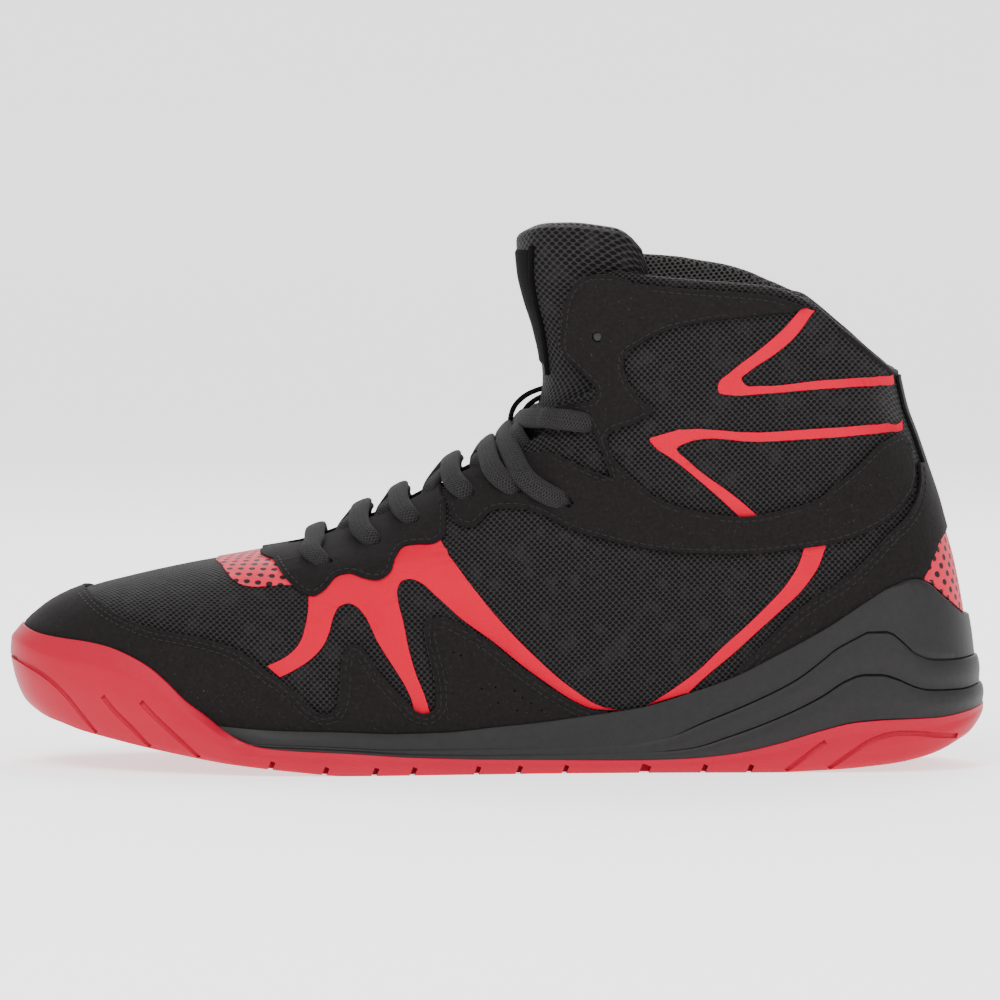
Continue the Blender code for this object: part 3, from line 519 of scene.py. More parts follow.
weaves = np.concatenate([weaves[:, :1], weaves, weaves[:, -1:]], 1)
bands = np.zeros(len(rows) - 1)
bands[len(levels) + len(rim) // 2 + 1:] = 1
show("upper_mesh", loft(rows, weaves, bands), (black_mesh, lining_mesh), ["upper"], 60)

# Suede overlays
# Black microsuede 0.8 mm thick, die-cut and sewn to the mesh: the toe guard with its scalloped points,
# the eyestay, an ankle frame on each side and the heel counter with its strip up the back seam.
SUEDE_LOW, SUEDE_HIGH = 0.42, 1.25
TURN_STEP, LEVEL_STEP = 0.0125, 0.017
LINE_PARTS = 5               # pieces of a smooth line between two of its points
POINT_GAP = 0.35             # points of an outline that are closer than this are one
COLLAR_BAND = 0.993
GUARD_EDGE = (
    (-125.2, 53), (-122.8, 51.2), (-118.4, 48.4), (-112.1, 45.6), (-104.6, 43.2), (-95.3, 41.8), (-86, 40.2),
    (-78.7, 38), (-73.4, 34.8), (-68.8, 31.2), (-64.8, 28.6), (-59.8, 24.2), (-56.3, 20.6), (-52.1, 18.8),
    (-49, 19.9), (-47.9, 23.4), (-47.1, 31.1), (-46.4, 36.5), (-44.4, 39.5), (-41.7, 39.5), (-39.1, 36.4),
    (-36, 31.8), (-32.1, 27.1), (-27.5, 22.4), (-24.5, 19.4), (-21, 18.6), (-18.7, 20.8), (-18.5, 23.9),
    (-19.1, 29.3), (-20.2, 33.9), (-21.8, 40.8), (-22, 44.6), (-20.2, 47.1), (-16, 47.2), (-10.6, 44.9),
    (-1.7, 39.5), (7.1, 32.4), (14.9, 26.7), (22.6, 21.9), (28.8, 19.2), (33.5, 18.5),
)
EYESTAY_EDGE = (
    (-67.8, 63.6), (-63.1, 58), (-58.4, 54.6), (-55.3, 53.9), (-52.2, 55.7), (-48.4, 59.5), (-44.6, 60.3),
    (-39.9, 59), (-35.7, 58.6), (-32.2, 61), (-30.7, 65.1), (-28.4, 68), (-24.6, 68.8), (-18.4, 69.5),
    (-16, 71.4), (-15.5, 75), (-15.3, 81),
)
FRAME_EDGE = (
    (-14.5, 80.6), (-12.8, 75.9), (-8.9, 74.1), (-5.9, 75.1), (-2, 78.9), (3.9, 80), (11.8, 79), (21.6, 74.1),
    (34.4, 70.2), (49.2, 67.2), (64, 66.2), (76.7, 66.2), (93.5, 68.2), (100.4, 69.2), (112.2, 73.1),
    (122.2, 79.7), (125.9, 85.4), (125.7, 96), (122.6, 101.6), (116.2, 99.5), (109.2, 92.8), (102.2, 86.9),
    (97.3, 83), (87.5, 80), (78.7, 78), (68.8, 78), (58, 80), (49.2, 83), (43.3, 86.9), (38.3, 91.9),
    (34.4, 96.8), (33.4, 101.7), (43.2, 106.6), (47.2, 109.6), (43.2, 113.5), (39.3, 119.4), (38.3, 123.3),
    (39.3, 127.2), (43.2, 129.7), (49.1, 133.2), (60.9, 136.3), (77.5, 138.4), (84.4, 139.1), (88.8, 139.5),
)
FLAP_EDGE = (
    (35.5, 151), (29.6, 151), (26.6, 150.2), (24.4, 148.6), (22.7, 146), (21.5, 142.9), (20.9, 139.2),
    (20.7, 135.1), (20.3, 130.9), (20.6, 128), (21.9, 125.5), (24.2, 123), (26.6, 120.5), (29.2, 118),
    (30.6, 115.8), (30.2, 113.6), (24.2, 111.6), (19.5, 110.3), (17.8, 108.7), (18.8, 107.3), (21.7, 107.1),
    (28.2, 106.3, 1), (30.1, 101.8), (34.5, 89.4, 1), (26.6, 92.4), (16.3, 96.8, 1),
)
COUNTER_EDGE = (
    (71.9, 29.8), (80.3, 38.7), (89, 47.5), (95.4, 52.4), (104.8, 58.3), (111.2, 64.2), (118.2, 72),
    (123.8, 77.2), (126.9, 82.4), (128.1, 88.1), (127.8, 93),
)
GUARD_FRONT, EYESTAY_FRONT = (-127, 53.5), (-70.6, 65.9)
EYESTAY_END, FRAME_START = 0.527, 0.536
PANEL_TOP = (136.2, 72.4)
PANEL_EDGE = ((133.9, 68.9), (131.6, 63.6), (129.3, 58.6))
EYELETS = ((-51.2, 63.2), (-36.5, 68.9), (-24.7, 75.6), (-7.9, 83.6), (6.9, 85.8), (21.6, 82), (30.5, 132.1))
EYELET_RADIUS, PINHOLE_RADIUS = 1.7, 0.32
FLIP = np.array((-1, 1))      # takes a turn and level to the other side
PINHOLES = (
    (-13.3, 37), (-11, 36.1), (-4.8, 26), (-0.6, 26.3), (5.2, 25.2), (7.5, 23.1), (6, 19.4), (13.3, 19.4),
    (0.2, 21.7), (10.2, 21.5),
)
STRIP_HALF, STRIP_TOP = 0.064, 0.982
midsole_top = profile(
    (-146, 29.5), (-122, 20.8), (-100, 16.4), (-85.6, 15), (-65, 13.6), (-48, 13.2), (-30, 12.5), (-16, 12.7),
    (0, 14.2), (15, 15.6), (30, 17.7), (43.4, 19.6), (57.3, 23.7), (71.2, 28.7), (82.3, 34.3), (99, 43.4),
    (113, 52.4), (120, 56.4), (127.2, 58.5), (131, 57.2), (136, 52.8), (143, 46.5),
)
# The rubber's top edge behind the bumper, which is also the floor that the foam stands on
RUBBER_TOP = (
    (-62, 7.5), (-45, 6.6), (-24, 5.1), (1, 4.2), (43, 3.6), (57, 4), (71, 5.4), (85, 8.5), (99, 12.7),
    (109, 15), (120, 15.8), (134, 16.1), (143, 17.3), (150, 19),
)
bumper_top = profile(
    (-146, 42.4), (-138.8, 40.2), (-131.7, 39.2), (-124.8, 38.6), (-118, 37.5), (-111.2, 35.2), (-104.5, 31.8),
    (-99.1, 27.5), (-94.5, 23), (-87.8, 18), (-82, 13), (-76.6, 9.9), (-71, 8.3), *RUBBER_TOP,
)


def flowing(rows, closed=False):
    """A smooth line through points of the side view; a third value marks a sharp corner."""
    points = np.array([row[:2] for row in rows], float)
    count = len(points)
    line = []
    for a in range(count if closed else count - 1):
        b = (a + 1) % count
        chord = points[b] - points[a]
        slopes = []
        for k in (a, b):
            before, after = points[k] - points[k - 1], points[(k + 1) % count] - points[k]
            m, n = np.linalg.norm(before), np.linalg.norm(after)
            smooth = (before / m * n + after / n * m) / (m + n) * np.linalg.norm(chord)
            ends = len(rows[k]) > 2 or not closed and k in (0, count - 1)
            slopes.append(chord if ends else smooth)
        for s in np.arange(LINE_PARTS) / LINE_PARTS:
            bend = slopes[0] * s * (1 - s) ** 2 - slopes[1] * s * s * (1 - s)
            line.append(points[a] + bend + chord * s * s * (3 - 2 * s))
    return np.array(line if closed else [*line, points[-1]])


def chart(points):
    """Turn and level of points of the side view, on the outer side."""
    x, z = np.asarray(points, float).T
    t = level(x, z)
    along = np.clip((x - front(t)) / (back(t) - front(t)), 0, 1)
    return np.stack([np.arccos(1 - 2 * along) / np.pi, t], -1)


def mirrored(outline, about=0):
    """The same line on the other side of the ridge, about 0, or of the heel, about 1."""
    return np.stack([2 * about - outline[::-1, 0], outline[::-1, 1]], -1)


def both_sides(half, about=0):
    return chain(half, mirrored(half, about))


def sole_line(x):
    return np.maximum(midsole_top(x), bumper_top(x)) + 0.1


def meet(surface, at, line, *offset):
    """Level at which each place round a surface meets a long line of the side view."""
    t = np.full(at.shape, 0.1)
    for _ in range(10):
        x = surface(at, t, *offset)[:, 0]
        t = level(x, line(x))
    return t


def along_sole(start, end):
    """Line along the top of the sole from one turn to another."""
    turn = np.linspace(start, end, 60)
    return np.stack([turn, meet(last, turn, sole_line)], -1)


def throat_edge(start, end, v):
    """Line beside the throat's outer edge between two levels."""
    return np.stack(place(v, np.linspace(start, end, 40)), -1)


def tidy_outline(outline):
    """Drop points that all but touch, and run the outline anticlockwise."""
    spots = last(*outline.T)
    keep = [0]
    for k in range(1, len(outline)):
        if all(np.linalg.norm(spots[k] - spots[other]) > POINT_GAP for other in (keep[-1], 0)):
            keep.append(k)
    outline = outline[keep]
    after = np.roll(outline, -1, 0)
    area = (outline[:, 0] * after[:, 1] - after[:, 0] * outline[:, 1]).sum()
    return outline if area > 0 else outline[::-1]


def panel_mesh(outline, low, high, weave=None, edge=0.28):
    """A thin panel between two offsets of the skin, cut fine enough to follow it, with softened edges."""
    outline = tidy_outline(outline)
    bm = bmesh.new()
    bm.faces.new([bm.verts.new((turn, t, 0)) for turn, t in outline])
    for axis, step in ((0, TURN_STEP), (1, LEVEL_STEP)):
        normal = (1 - axis, axis, 0)
        for at in np.arange(outline[:, axis].min() + step / 2, outline[:, axis].max(), step):
            everything = bm.verts[:] + bm.edges[:] + bm.faces[:]
            bmesh.ops.bisect_plane(bm, geom=everything, dist=3e-4, plane_co=Vector(normal) * at,
                                   plane_no=normal)
    bmesh.ops.triangulate(bm, faces=bm.faces)
    raised = set(new_verts(bmesh.ops.extrude_face_region(bm, geom=bm.faces[:])))
    flat = np.array([vert.co[:2] for vert in bm.verts])
    offset = np.array([high if vert in raised else low for vert in bm.verts])
    if weave is not None:
        layer = bm.loops.layers.uv.new("weave")
        spots = weave(*flat.T)
        bm.verts.index_update()
        for face in bm.faces:
            for corner in face.loops:
                corner[layer].uv = spots[corner.vert.index] * MM
    for vert, point in zip(bm.verts, lifted(*flat.T, offset) * MM):
        vert.co = point
    rim = [side for side in bm.edges if all(vert in raised for vert in side.verts)
           and any(vert not in raised for face in side.link_faces for vert in face.verts)]
    bevel(bm, rim, edge * MM, 2)
    return bm


def cut(blank, cutter, solver="EXACT"):
    """A mesh with the shapes of a cutter taken out."""
    things = []
    for name, part in (("blank", blank), ("cutter", cutter)):
        bmesh.ops.recalc_face_normals(part, faces=part.faces)
        things.append(add(name, mesh_of(name, part)))
    taken = things[0].modifiers.new("cut", "BOOLEAN")
    taken.operation, taken.solver, taken.object = "DIFFERENCE", solver, things[1]
    left = bmesh.new()
    left.from_mesh(things[0].evaluated_get(bpy.context.evaluated_depsgraph_get()).to_mesh())
    for thing in things:
        mesh = thing.data
        bpy.data.objects.remove(thing)
        bpy.data.meshes.remove(mesh)
    return left


def pegs(spots, radius, segments=16, low=0.1, high=1.9, depth=1.8):
    """Round pegs that stand on the skin, between two offsets of it; as cutters they go through the suede."""
    bm = bmesh.new()
    for turn, t in spots:
        base, tip = lifted(turn, t, low), lifted(turn, t, high)
        aim = Vector(tip - base).to_track_quat("Z", "Y").to_matrix().to_4x4()
        bmesh.ops.create_cone(bm, cap_ends=True, segments=segments, radius1=radius * MM, radius2=radius * MM,
                              depth=depth * MM, matrix=Matrix.Translation(Vector((base + tip) / 2) * MM) @ aim)
    return bm


suede, tree, shader = new_finish("black_suede", 0.9, 0.1, 0.045)
nap = tint(tree, noise(tree, 900, 4), (0.0037, 0.003, 0.003), (0.0138, 0.0113, 0.0115))
lint = ramp(tree, noise(tree, 1700, 0), 0.76, 0.86)
paint(shader, tint(tree, lint, nap, (0.026, 0.0245, 0.025)))
shader.inputs["Sheen Roughness"].default_value = 0.4
relief(tree, shader, noise(tree, 3600, 2), 0.00018, 0.55)
relief(tree, shader, noise(tree, 60), 0.0012, 0.35)


def suede_panel(name, outline, cutter=None):
    panel = panel_mesh(outline, SUEDE_LOW, SUEDE_HIGH)
    show(name + "_suede", panel if cutter is None else cut(panel, cutter), [suede], [name])


eyelets, pinholes = chart(EYELETS), chart(PINHOLES)
guard_side = chart(flowing(GUARD_EDGE))
guard_half = chain([[0, level(*GUARD_FRONT)]], guard_side, along_sole(guard_side[-1, 0], 0))
suede_panel("toe_guard", both_sides(guard_half), pegs([*pinholes, *pinholes * FLIP], PINHOLE_RADIUS, 8))

eyestay_side = chart(flowing(EYESTAY_EDGE))
eyestay_half = chain(
    [[0, level(*EYESTAY_FRONT)]], eyestay_side, throat_edge(EYESTAY_END, THROAT_LEVEL + 0.003, 0.002),
)
suede_panel("eyestay", both_sides(eyestay_half), pegs([*eyelets[:3], *eyelets[:3] * FLIP], EYELET_RADIUS))

frame_side, flap_side = chart(flowing(FRAME_EDGE)), chart(flowing(FLAP_EDGE))
band_columns = np.linspace(frame_side[-1, 0], 0.2, 40)
frame_bands = []
for side, columns in (("outer", band_columns), ("inner", 2 - band_columns)):
    band = np.abs(np.stack(place(columns, COLLAR_BAND), -1))
    outline = chain(frame_side, band, flap_side, throat_edge(flap_side[-1, 1] - 0.01, FRAME_START, 0.003))
    holed = eyelets[3:]
    if side == "inner":
        band, outline, holed = mirrored(band), mirrored(outline), holed * FLIP
    frame_bands.append(band)
    suede_panel("ankle_frame_" + side, outline, pegs(holed, EYELET_RADIUS))

counter_side = chart(flowing(COUNTER_EDGE))
panel_top = level(*PANEL_TOP)
panel_side = chain([(0.972, panel_top), (0.93, panel_top - 0.015)], chart(PANEL_EDGE))
counter_half = chain(
    [[1, STRIP_TOP]], [[1 - STRIP_HALF, t] for t in (STRIP_TOP, 0.8, 0.72)],
    counter_side[::-1], along_sole(counter_side[0, 0], panel_side[-1, 0]), panel_side[::-1],
    [[1, panel_top + 0.004]],
)
suede_panel("heel_counter", both_sides(counter_half, 1))

# Red panels
# Perforated red synthetic, die-cut and let in at the vamp and at the back of the heel. Its edges lie under the
# suede round it and are caught by the same stitches.
FILM_LOW, FILM_HIGH, FILM_EDGE = 0.05, 0.38, 0.15
VAMP_EDGE = (
    (-84.4, 62.2), (-82.3, 60.2), (-80.8, 58.7), (-77.7, 56.9), (-74.4, 56.3), (-69.1, 56.6), (-62, 57.2, 1),
    (-61, 59.5), (-64, 64),
)
VAMP_FRONT, VAMP_BACK = (-85.5, 63.1), (-66.5, 66.6)
HOLE_PITCH, HOLE_SIZE = 3.5, 1.95
VAMP_SLANT = math.radians(-34)
perforated, tree, shader = new_finish("red_perforated", 0.5, 0.2)
away = holes(tree, HOLE_PITCH * math.sqrt(2), HOLE_PITCH / math.sqrt(2), HOLE_SIZE, HOLE_SIZE)
skin_red = tint(tree, noise(tree, 400), (0.52, 0.007, 0.034), (0.64, 0.011, 0.044))
paint(shader, tint(tree, ramp(tree, away, 0.86, 1.06), (0.004, 0.0015, 0.0015), skin_red))
relief(tree, shader, noise(tree, 1500), 0.00012, 0.4)
relief(tree, shader, ramp(tree, away, 0.7, 1.2), 0.0005, 0.9)


def vamp_weave(turn, t):
    along, up = girth(turn, t)
    up = np.where(np.asarray(turn) < 0, 2 * girth(0, t)[1] - up, up)
    cos, sin = math.cos(VAMP_SLANT), math.sin(VAMP_SLANT)
    return np.stack([along * cos - up * sin, along * sin + up * cos], -1)


def heel_weave(turn, t):
    return last(turn, t)[:, 1:]


vamp_half = chain([[0, level(*VAMP_FRONT)]], chart(flowing(VAMP_EDGE)), [[0, level(*VAMP_BACK)]])
under_side = panel_side - (0.008, 0)
heel_half = chain([[1, panel_top + 0.012]], under_side, along_sole(under_side[-1, 0], 1))
for name, outline, weave in (
    ("vamp_panel", both_sides(vamp_half), vamp_weave), ("heel_panel", both_sides(heel_half, 1), heel_weave),
):
    red_mesh = panel_mesh(outline, FILM_LOW, FILM_HIGH, weave, FILM_EDGE)
    show(name + "_red", red_mesh, [perforated], [name])

# Red films
# Bright red film trims welded flat to the mesh, with their ends under the suede: a claw below the eyestay,
# two narrow V shapes at the ankle and a stripe down the rear quarter, the same on both sides.
CLAW_EDGE = (
    (-69.4, 33.2, 1), (-62.9, 36.5), (-59.4, 40.3), (-57.9, 44.8), (-57, 50.1), (-56.5, 55.6), (-52.2, 58.5),
    (-48.4, 61.6), (-44.6, 62.4), (-39.9, 61.2), (-35.7, 60.8), (-32.2, 63.2), (-30.7, 67.2), (-28.4, 70.1),
    (-24.6, 70.9), (-17.6, 71.5, 1), (-16, 68.5), (-9.8, 59.8), (0.2, 47.1), (11, 35.8), (22.6, 25.7),
    (31.9, 20), (36.2, 19, 1), (28.8, 19.5), (22.6, 22.3), (14.9, 27.4), (7.1, 33.2), (-1.7, 40.4),
    (-10.6, 46.8), (-19.1, 54.5), (-23, 57.8), (-26.4, 59), (-29, 58.2), (-30.1, 56.1), (-30, 53.1),
    (-28.3, 46.2), (-26.8, 38.6), (-24.1, 29.3), (-22.2, 24.7), (-20, 17.4, 1), (-24.6, 17.4, 1), (-26, 23.2),
    (-28.3, 27.9), (-31.4, 32.9), (-36, 40.2), (-40.6, 49), (-42.6, 51), (-44.9, 51.8), (-47.6, 50.9),
    (-49.5, 47.5), (-50.6, 43.3), (-52.5, 39.2), (-56, 35.4), (-60.6, 32.3), (-65.4, 29.8, 1),
)
UPPER_V_EDGE = (
    (92.4, 141.3, 1), (95.8, 140, 1), (89.9, 131.9), (84, 126.8), (76.4, 121.7), (74, 119.4), (75.1, 117.7),
    (79.8, 117.3), (96.7, 118.8), (120.2, 120, 1), (120.7, 117.2, 1), (96.7, 116.2), (79.8, 114.8),
    (70.4, 114.5), (67, 115.4), (66.9, 117.9), (70.4, 121.3), (79.7, 128.5), (86.5, 134.5),
)
LOWER_V_EDGE = (
    (46.2, 100.9), (49.2, 102.4), (79.8, 103.2), (96.8, 104.3), (123.2, 105.9, 1), (123.4, 103.2, 1),
    (105.3, 101.9), (79.8, 100.3), (56, 99.5), (54.3, 98.4), (57.4, 95), (72.8, 83.2), (79.7, 77.3, 1),
    (73.8, 77.3, 1), (67.9, 82.8), (53.5, 94.8), (47.2, 99.4),
)
REAR_EDGE = (
    (91.3, 62.8), (93.4, 69.2, 1), (100, 70.3, 1), (97.6, 62.8), (92, 54.8), (85.1, 48.3), (78.1, 42),
    (71.2, 35.7), (64.9, 30.5), (58, 24.3, 1), (46.5, 20.8, 1), (53.8, 25.6), (60.8, 30.8), (67.7, 37.4),
    (74.7, 43.7), (81.6, 50.3), (87.9, 57.3),
)
film = mottled(
    "red_film", 0.48, 0.015, (90,), (0.49, 0.0001, 0.021), (0.56, 0.0001, 0.026),
    (1300, 2, 0.00008, 0.35), (170, 3, 0.0004, 0.25),
)
for name, edge in (("claw", CLAW_EDGE), ("upper_v", UPPER_V_EDGE), ("lower_v", LOWER_V_EDGE),
                   ("rear_stripe", REAR_EDGE)):
    line = chart(flowing(edge, True))
    for side, outline in (("outer", line), ("inner", mirrored(line))):
        trim = f"{name}_{side}"
        film_mesh = panel_mesh(outline, FILM_LOW, FILM_HIGH, None, FILM_EDGE)
        show(trim + "_film", film_mesh, [film], [trim])

# Stitching
# Black polyester thread, lockstitched in rows beside the suede's edges to hold it to the mesh. The toe guard
# and the heel counter take more wear and have two rows.
STITCH_PITCH, STITCH_LENGTH, STITCH_WIDTH, STITCH_RISE, STITCH_EDGE = 2.4, 1.7, 0.45, 0.3, 0.14
ONE_ROW, TWO_ROWS, BAND_ROW = (1.4,), (1.4, 3.0), 1.5    # how far in from the edge
seams = []


def sew(line, inset):
    """Note a row of stitches beside a line that has its panel on its left."""
    points = lifted(*line.T, SUEDE_HIGH)
    up = lifted(*line.T, SUEDE_HIGH + 1) - points
    along = np.gradient(points, axis=0)
    seams.append((points + unit(np.cross(up, along)) * inset, up))


for line, rows_in in (
    (guard_side[::-1], TWO_ROWS), (eyestay_side, ONE_ROW), (frame_side[:-12], ONE_ROW), (flap_side, ONE_ROW),
    (counter_side[::-1], TWO_ROWS),
):
    for inset in rows_in:
        sew(line, inset)
        sew(mirrored(line), inset)
for band in frame_bands:
    sew(band[4:-4], BAND_ROW)
thread = mottled(
    "black_thread", 0.6, 0.2, (2600,), (0.003, 0.003, 0.003), (0.014, 0.0135, 0.0138), (4200, 3, 0.0001, 0.6),
)


def run_lengths(points):
    """Length of a line up to each of its points."""
    return chain([0], np.cumsum(np.linalg.norm(np.diff(points, axis=0), axis=-1)))


bm = bmesh.new()
for points, up in seams:
    lengths = run_lengths(points)
    for start in np.arange(STITCH_PITCH / 2, lengths[-1] - STITCH_PITCH / 2, STITCH_PITCH):
        ends = [np.array([np.interp(start + half, lengths, points[:, axis]) for axis in range(3)])
                for half in (-STITCH_LENGTH / 2, STITCH_LENGTH / 2)]
        rise = Vector([np.interp(start, lengths, up[:, axis]) for axis in range(3)]).normalized()
        along = Vector(ends[1] - ends[0])
        if along.length < 0.8 * STITCH_LENGTH:
            continue
        across = rise.cross(along).normalized()
        along.normalize()
        turned = Matrix((along, across, across.cross(along).normalized() * -1)).transposed().to_4x4()
        sized = Matrix.Diagonal((STITCH_LENGTH * MM, STITCH_WIDTH * MM, STITCH_RISE * MM, 1))
        spot = Matrix.Translation(Vector((ends[0] + ends[1]) / 2) * MM)
        bmesh.ops.create_cube(bm, size=1, matrix=spot @ turned @ sized)
bevel(bm, bm.edges, STITCH_EDGE * MM, 1)
show("stitching", bm, [thread], [], 80)

# Collar piping
# A thin cord in a fold of suede, sewn along the collar's edge round the back of the ankle, from one side to the
# other, where it keeps the edge from rubbing.
PIPING = 0.9
PIPING_SPAN, PIPING_LEVEL = (0.72, 1.28), 0.994


def tube(points, ups, wide, tall, taper=1, around=14):
    """A cord: a rounded section swept along points, closed at both ends, with its weave."""
    points = np.asarray(points)
    taper = np.broadcast_to(taper, len(points))
    along = np.gradient(points, axis=0)
    side = unit(np.cross(along, ups))
    up = unit(np.cross(side, along))
    angle = np.linspace(0, 2 * np.pi, around + 1)
    flat = np.sign(np.cos(angle)) * np.abs(np.cos(angle)) ** 0.8
    puff = np.sign(np.sin(angle)) * np.abs(np.sin(angle)) ** 0.7
    rows = points[:, None] + side[:, None] * (flat * wide / 2)[None, :, None] * taper[:, None, None]
    rows = rows + up[:, None] * (puff * tall / 2)[None, :, None]
    ends = [np.repeat(points[k][None, None], around + 1, 1) for k in (0, -1)]
    lengths = run_lengths(points)
    weave = np.stack(np.broadcast_arrays(lengths[:, None], angle[None] / np.pi * wide), -1)
    return loft(chain(ends[0], rows, ends[1]), chain(weave[:1], weave, weave[-1:]))


turn, t = place(np.linspace(*PIPING_SPAN, 90), PIPING_LEVEL)
cord = lifted(turn, t, 0.1)
piping_mesh = tube(cord, lifted(turn, t, 1.1) - cord, 1.5 * PIPING, 1.5 * PIPING)
show("collar_piping", piping_mesh, [suede], [], 60)

# Eyelet lining
# The upper's grey textile lining, which shows through the empty top eyelet on each side where the suede is
# punched. It is a small disc, set on the mesh behind the hole.
LINING_DISC, LINING_EDGE = 1.3, 0.06
grey = mottled(
    "grey_lining", 0.8, 0.2, (1400,), (0.024, 0.0235, 0.024), (0.05, 0.049, 0.05), (3000, 3, 0.0001, 0.5),
)
bm = pegs((eyelets[-1], eyelets[-1] * FLIP), LINING_DISC, 20, 0.1, 0.3, 0.3)
bevel(bm, bm.edges, LINING_EDGE * MM, 1)
show("eyelet_lining", bm, [grey], [])

# Tongue
# A padded mesh tongue sewn in at the throat's foot, wrapped round the shin and standing above the collar, with
# a plain woven label down its front between two rows of piping.
tongue_reach = profile(
    (0.345, 17), (0.39, 20), (0.5, 22), (0.58, 25), (0.635, 29), (0.7, 30), (0.75, 31.6), (0.83, 31),
    (0.92, 33), (1, 34.4), (1.1, 35.5),
)
UPPER_HEIGHT = 140.0         # about; it scales the tongue's weave and the insole
TONGUE_THICKNESS, TONGUE_CLEARANCE = 5.0, 1.1
SIDE_ROUND, TOP_ROUND = 0.07, 0.02        # share of its half width, and of the levels, that is rounded
TONGUE_BOTTOM, TONGUE_TOP = 0.35, 1.0725
TONGUE_PUFF = 1.3            # how far its padding swells out of the throat
TONGUE_WRAP = 0.036          # how much further round the shin its top reaches
CORNER_RISE, CORNER_FALL, CORNER_SHARE = 0.018, 0.075, 0.15    # of its top edge, towards the sides


def tongue_turn(t):
    """Turn of the tongue's edge, which reaches further round at the top."""
    return turn_at(tongue_reach(t), t) + TONGUE_WRAP * ease(0.88, 0.98, t)


def tongue_skin(turn, t):
    """Offset of the tongue's outer face."""
    puff = TONGUE_PUFF * (1 - ease(0.3, 0.6, np.abs(turn) / tongue_turn(t))) * ease(0.72, 0.8, t)
    return puff - wall(turn, np.minimum(t, 1)) - TONGUE_CLEARANCE


def tongue_face(across, t, depth):
    """Turn, level and offset of a point of the tongue; depth 0 is its outer face, 1 its inner one."""
    turn = across * tongue_turn(t)
    rise = CORNER_RISE * ease(0, 0.45, np.abs(across))
    rise = rise - CORNER_FALL * (1 - nose((1 - np.abs(across)) / CORNER_SHARE, 2))
    thick = TONGUE_THICKNESS * (1 - 0.45 * across ** 4) * lerp(0.55, 1, ease(0.345, 0.55, t))
    return turn, t + rise * ease(0.96, TONGUE_TOP, t), tongue_skin(turn, t) - thick * depth


across, t = np.meshgrid(np.linspace(-1, 1, 81), np.linspace(TONGUE_BOTTOM, TONGUE_TOP, 130))
edge = np.minimum((1 - np.abs(across)) / SIDE_ROUND, (TONGUE_TOP - t) / TOP_ROUND)
round_off = 0.5 * (1 - nose(np.clip(edge, 0, 1), 2))
tongue_front = lifted(*tongue_face(across, t, round_off))
tongue_back = lifted(*tongue_face(across, t, 1 - round_off))
weave = np.stack([across * tongue_reach(t), t * UPPER_HEIGHT], -1)
lining = weave * (1, -1) + (0, 2 * UPPER_HEIGHT * TONGUE_TOP + 3)
rows = chain(tongue_front, tongue_back[::-1], tongue_front[:1])
weaves = chain(weave, lining[::-1], weave[:1])
bands = np.zeros(len(rows) - 1)
bands[len(tongue_front):] = 1
tongue = show("tongue_pad", loft(rows, weaves, bands), (black_mesh, lining_mesh), ["tongue"], 60)

LABEL = table("level half_width", (0.785, 12), (0.9, 15), (1.035, 19))
LABEL_LOW, LABEL_HIGH = 0.05, 0.6
label_reach = curve(LABEL.level, LABEL.half_width)
satin, tree, shader = new_finish("black_satin", 0.75, 0.02)
spot = node(tree, "TexCoord").outputs["Object"]
wave = node(tree, "TexWave", {"Scale": 520, "Distortion": 0.3, "Vector": spot}, bands_direction="Z")
ribs = wave.outputs["Fac"]
paint(shader, tint(tree, ribs, (0.0026, 0.0024, 0.0025), (0.0075, 0.007, 0.0072)))
relief(tree, shader, ribs, 0.0001, 0.5)
across, t = np.meshgrid(np.linspace(-1, 1, 25), np.linspace(LABEL.level[0], LABEL.level[-1], 40))
turn = across * turn_at(label_reach(t), t)
lip = np.minimum(np.minimum(1 - np.abs(across), (t - t.min()) * 8), (t.max() - t) * 8)
height = lerp(LABEL_LOW, LABEL_HIGH, nose(lip / 0.06, 2))
outer_face = lifted(turn, t, tongue_skin(turn, t) + height)
inner_face = lifted(turn, t, tongue_skin(turn, t) - 0.3)
label_rows = chain(outer_face, inner_face[::-1], outer_face[:1])
show("tongue_label_weave", loft(label_rows), [satin], ["tongue_label"], 60)


def join(meshes):
    """One mesh of several."""
    whole = bmesh.new()
    for part in meshes:
        carry = mesh_of("part", part)
        whole.from_mesh(carry)
        bpy.data.meshes.remove(carry)
    return whole


pipes = []
for side in (-1, 1):
    t = np.linspace(LABEL.level[0] - 0.02, LABEL.level[-1] + 0.01, 50)
    turn = side * turn_at(label_reach(t) + 0.5, t)
    base = lifted(turn, t, tongue_skin(turn, t) + 0.35)
    ups = lifted(turn, t, tongue_skin(turn, t) + 1.35) - base
    pipes.append(tube(base, ups, 2 * PIPING, 2 * PIPING))
show("tongue_piping", join(pipes), [satin], [], 60)

# Insole
# A flat moulded footbed of foam under black fabric, cut to the last's outline and dropped into the upper. It
# shows only through the collar.
GAP = 0.3                    # kept between pieces that touch


def skin(v, t, offset):
    """Point off the skin in a column of the upper."""
    return lifted(*place(v, t), offset)


columns = np.linspace(0, 2, 121)
foot_edge = [skin(columns, rise / UPPER_HEIGHT, -(WALL + GAP + tuck))
             for rise, tuck in ((0.1, 0), (2.6, 0), (3.3, 0.4), (3.6, 1.2))]


def to_centre(edge, share):
    """A ring drawn in towards the foot's centre line."""
    return lerp(edge, (edge + edge[::-1]) / 2, share)


rows = [to_centre(foot_edge[0], 1), *foot_edge]
rows += [to_centre(foot_edge[-1], share) for share in (0.15, 0.35, 0.6, 0.8, 1)]
show("insole_bed", loft(rows, np.array(rows)[..., :2]), [lining_mesh], ["insole"], 50)

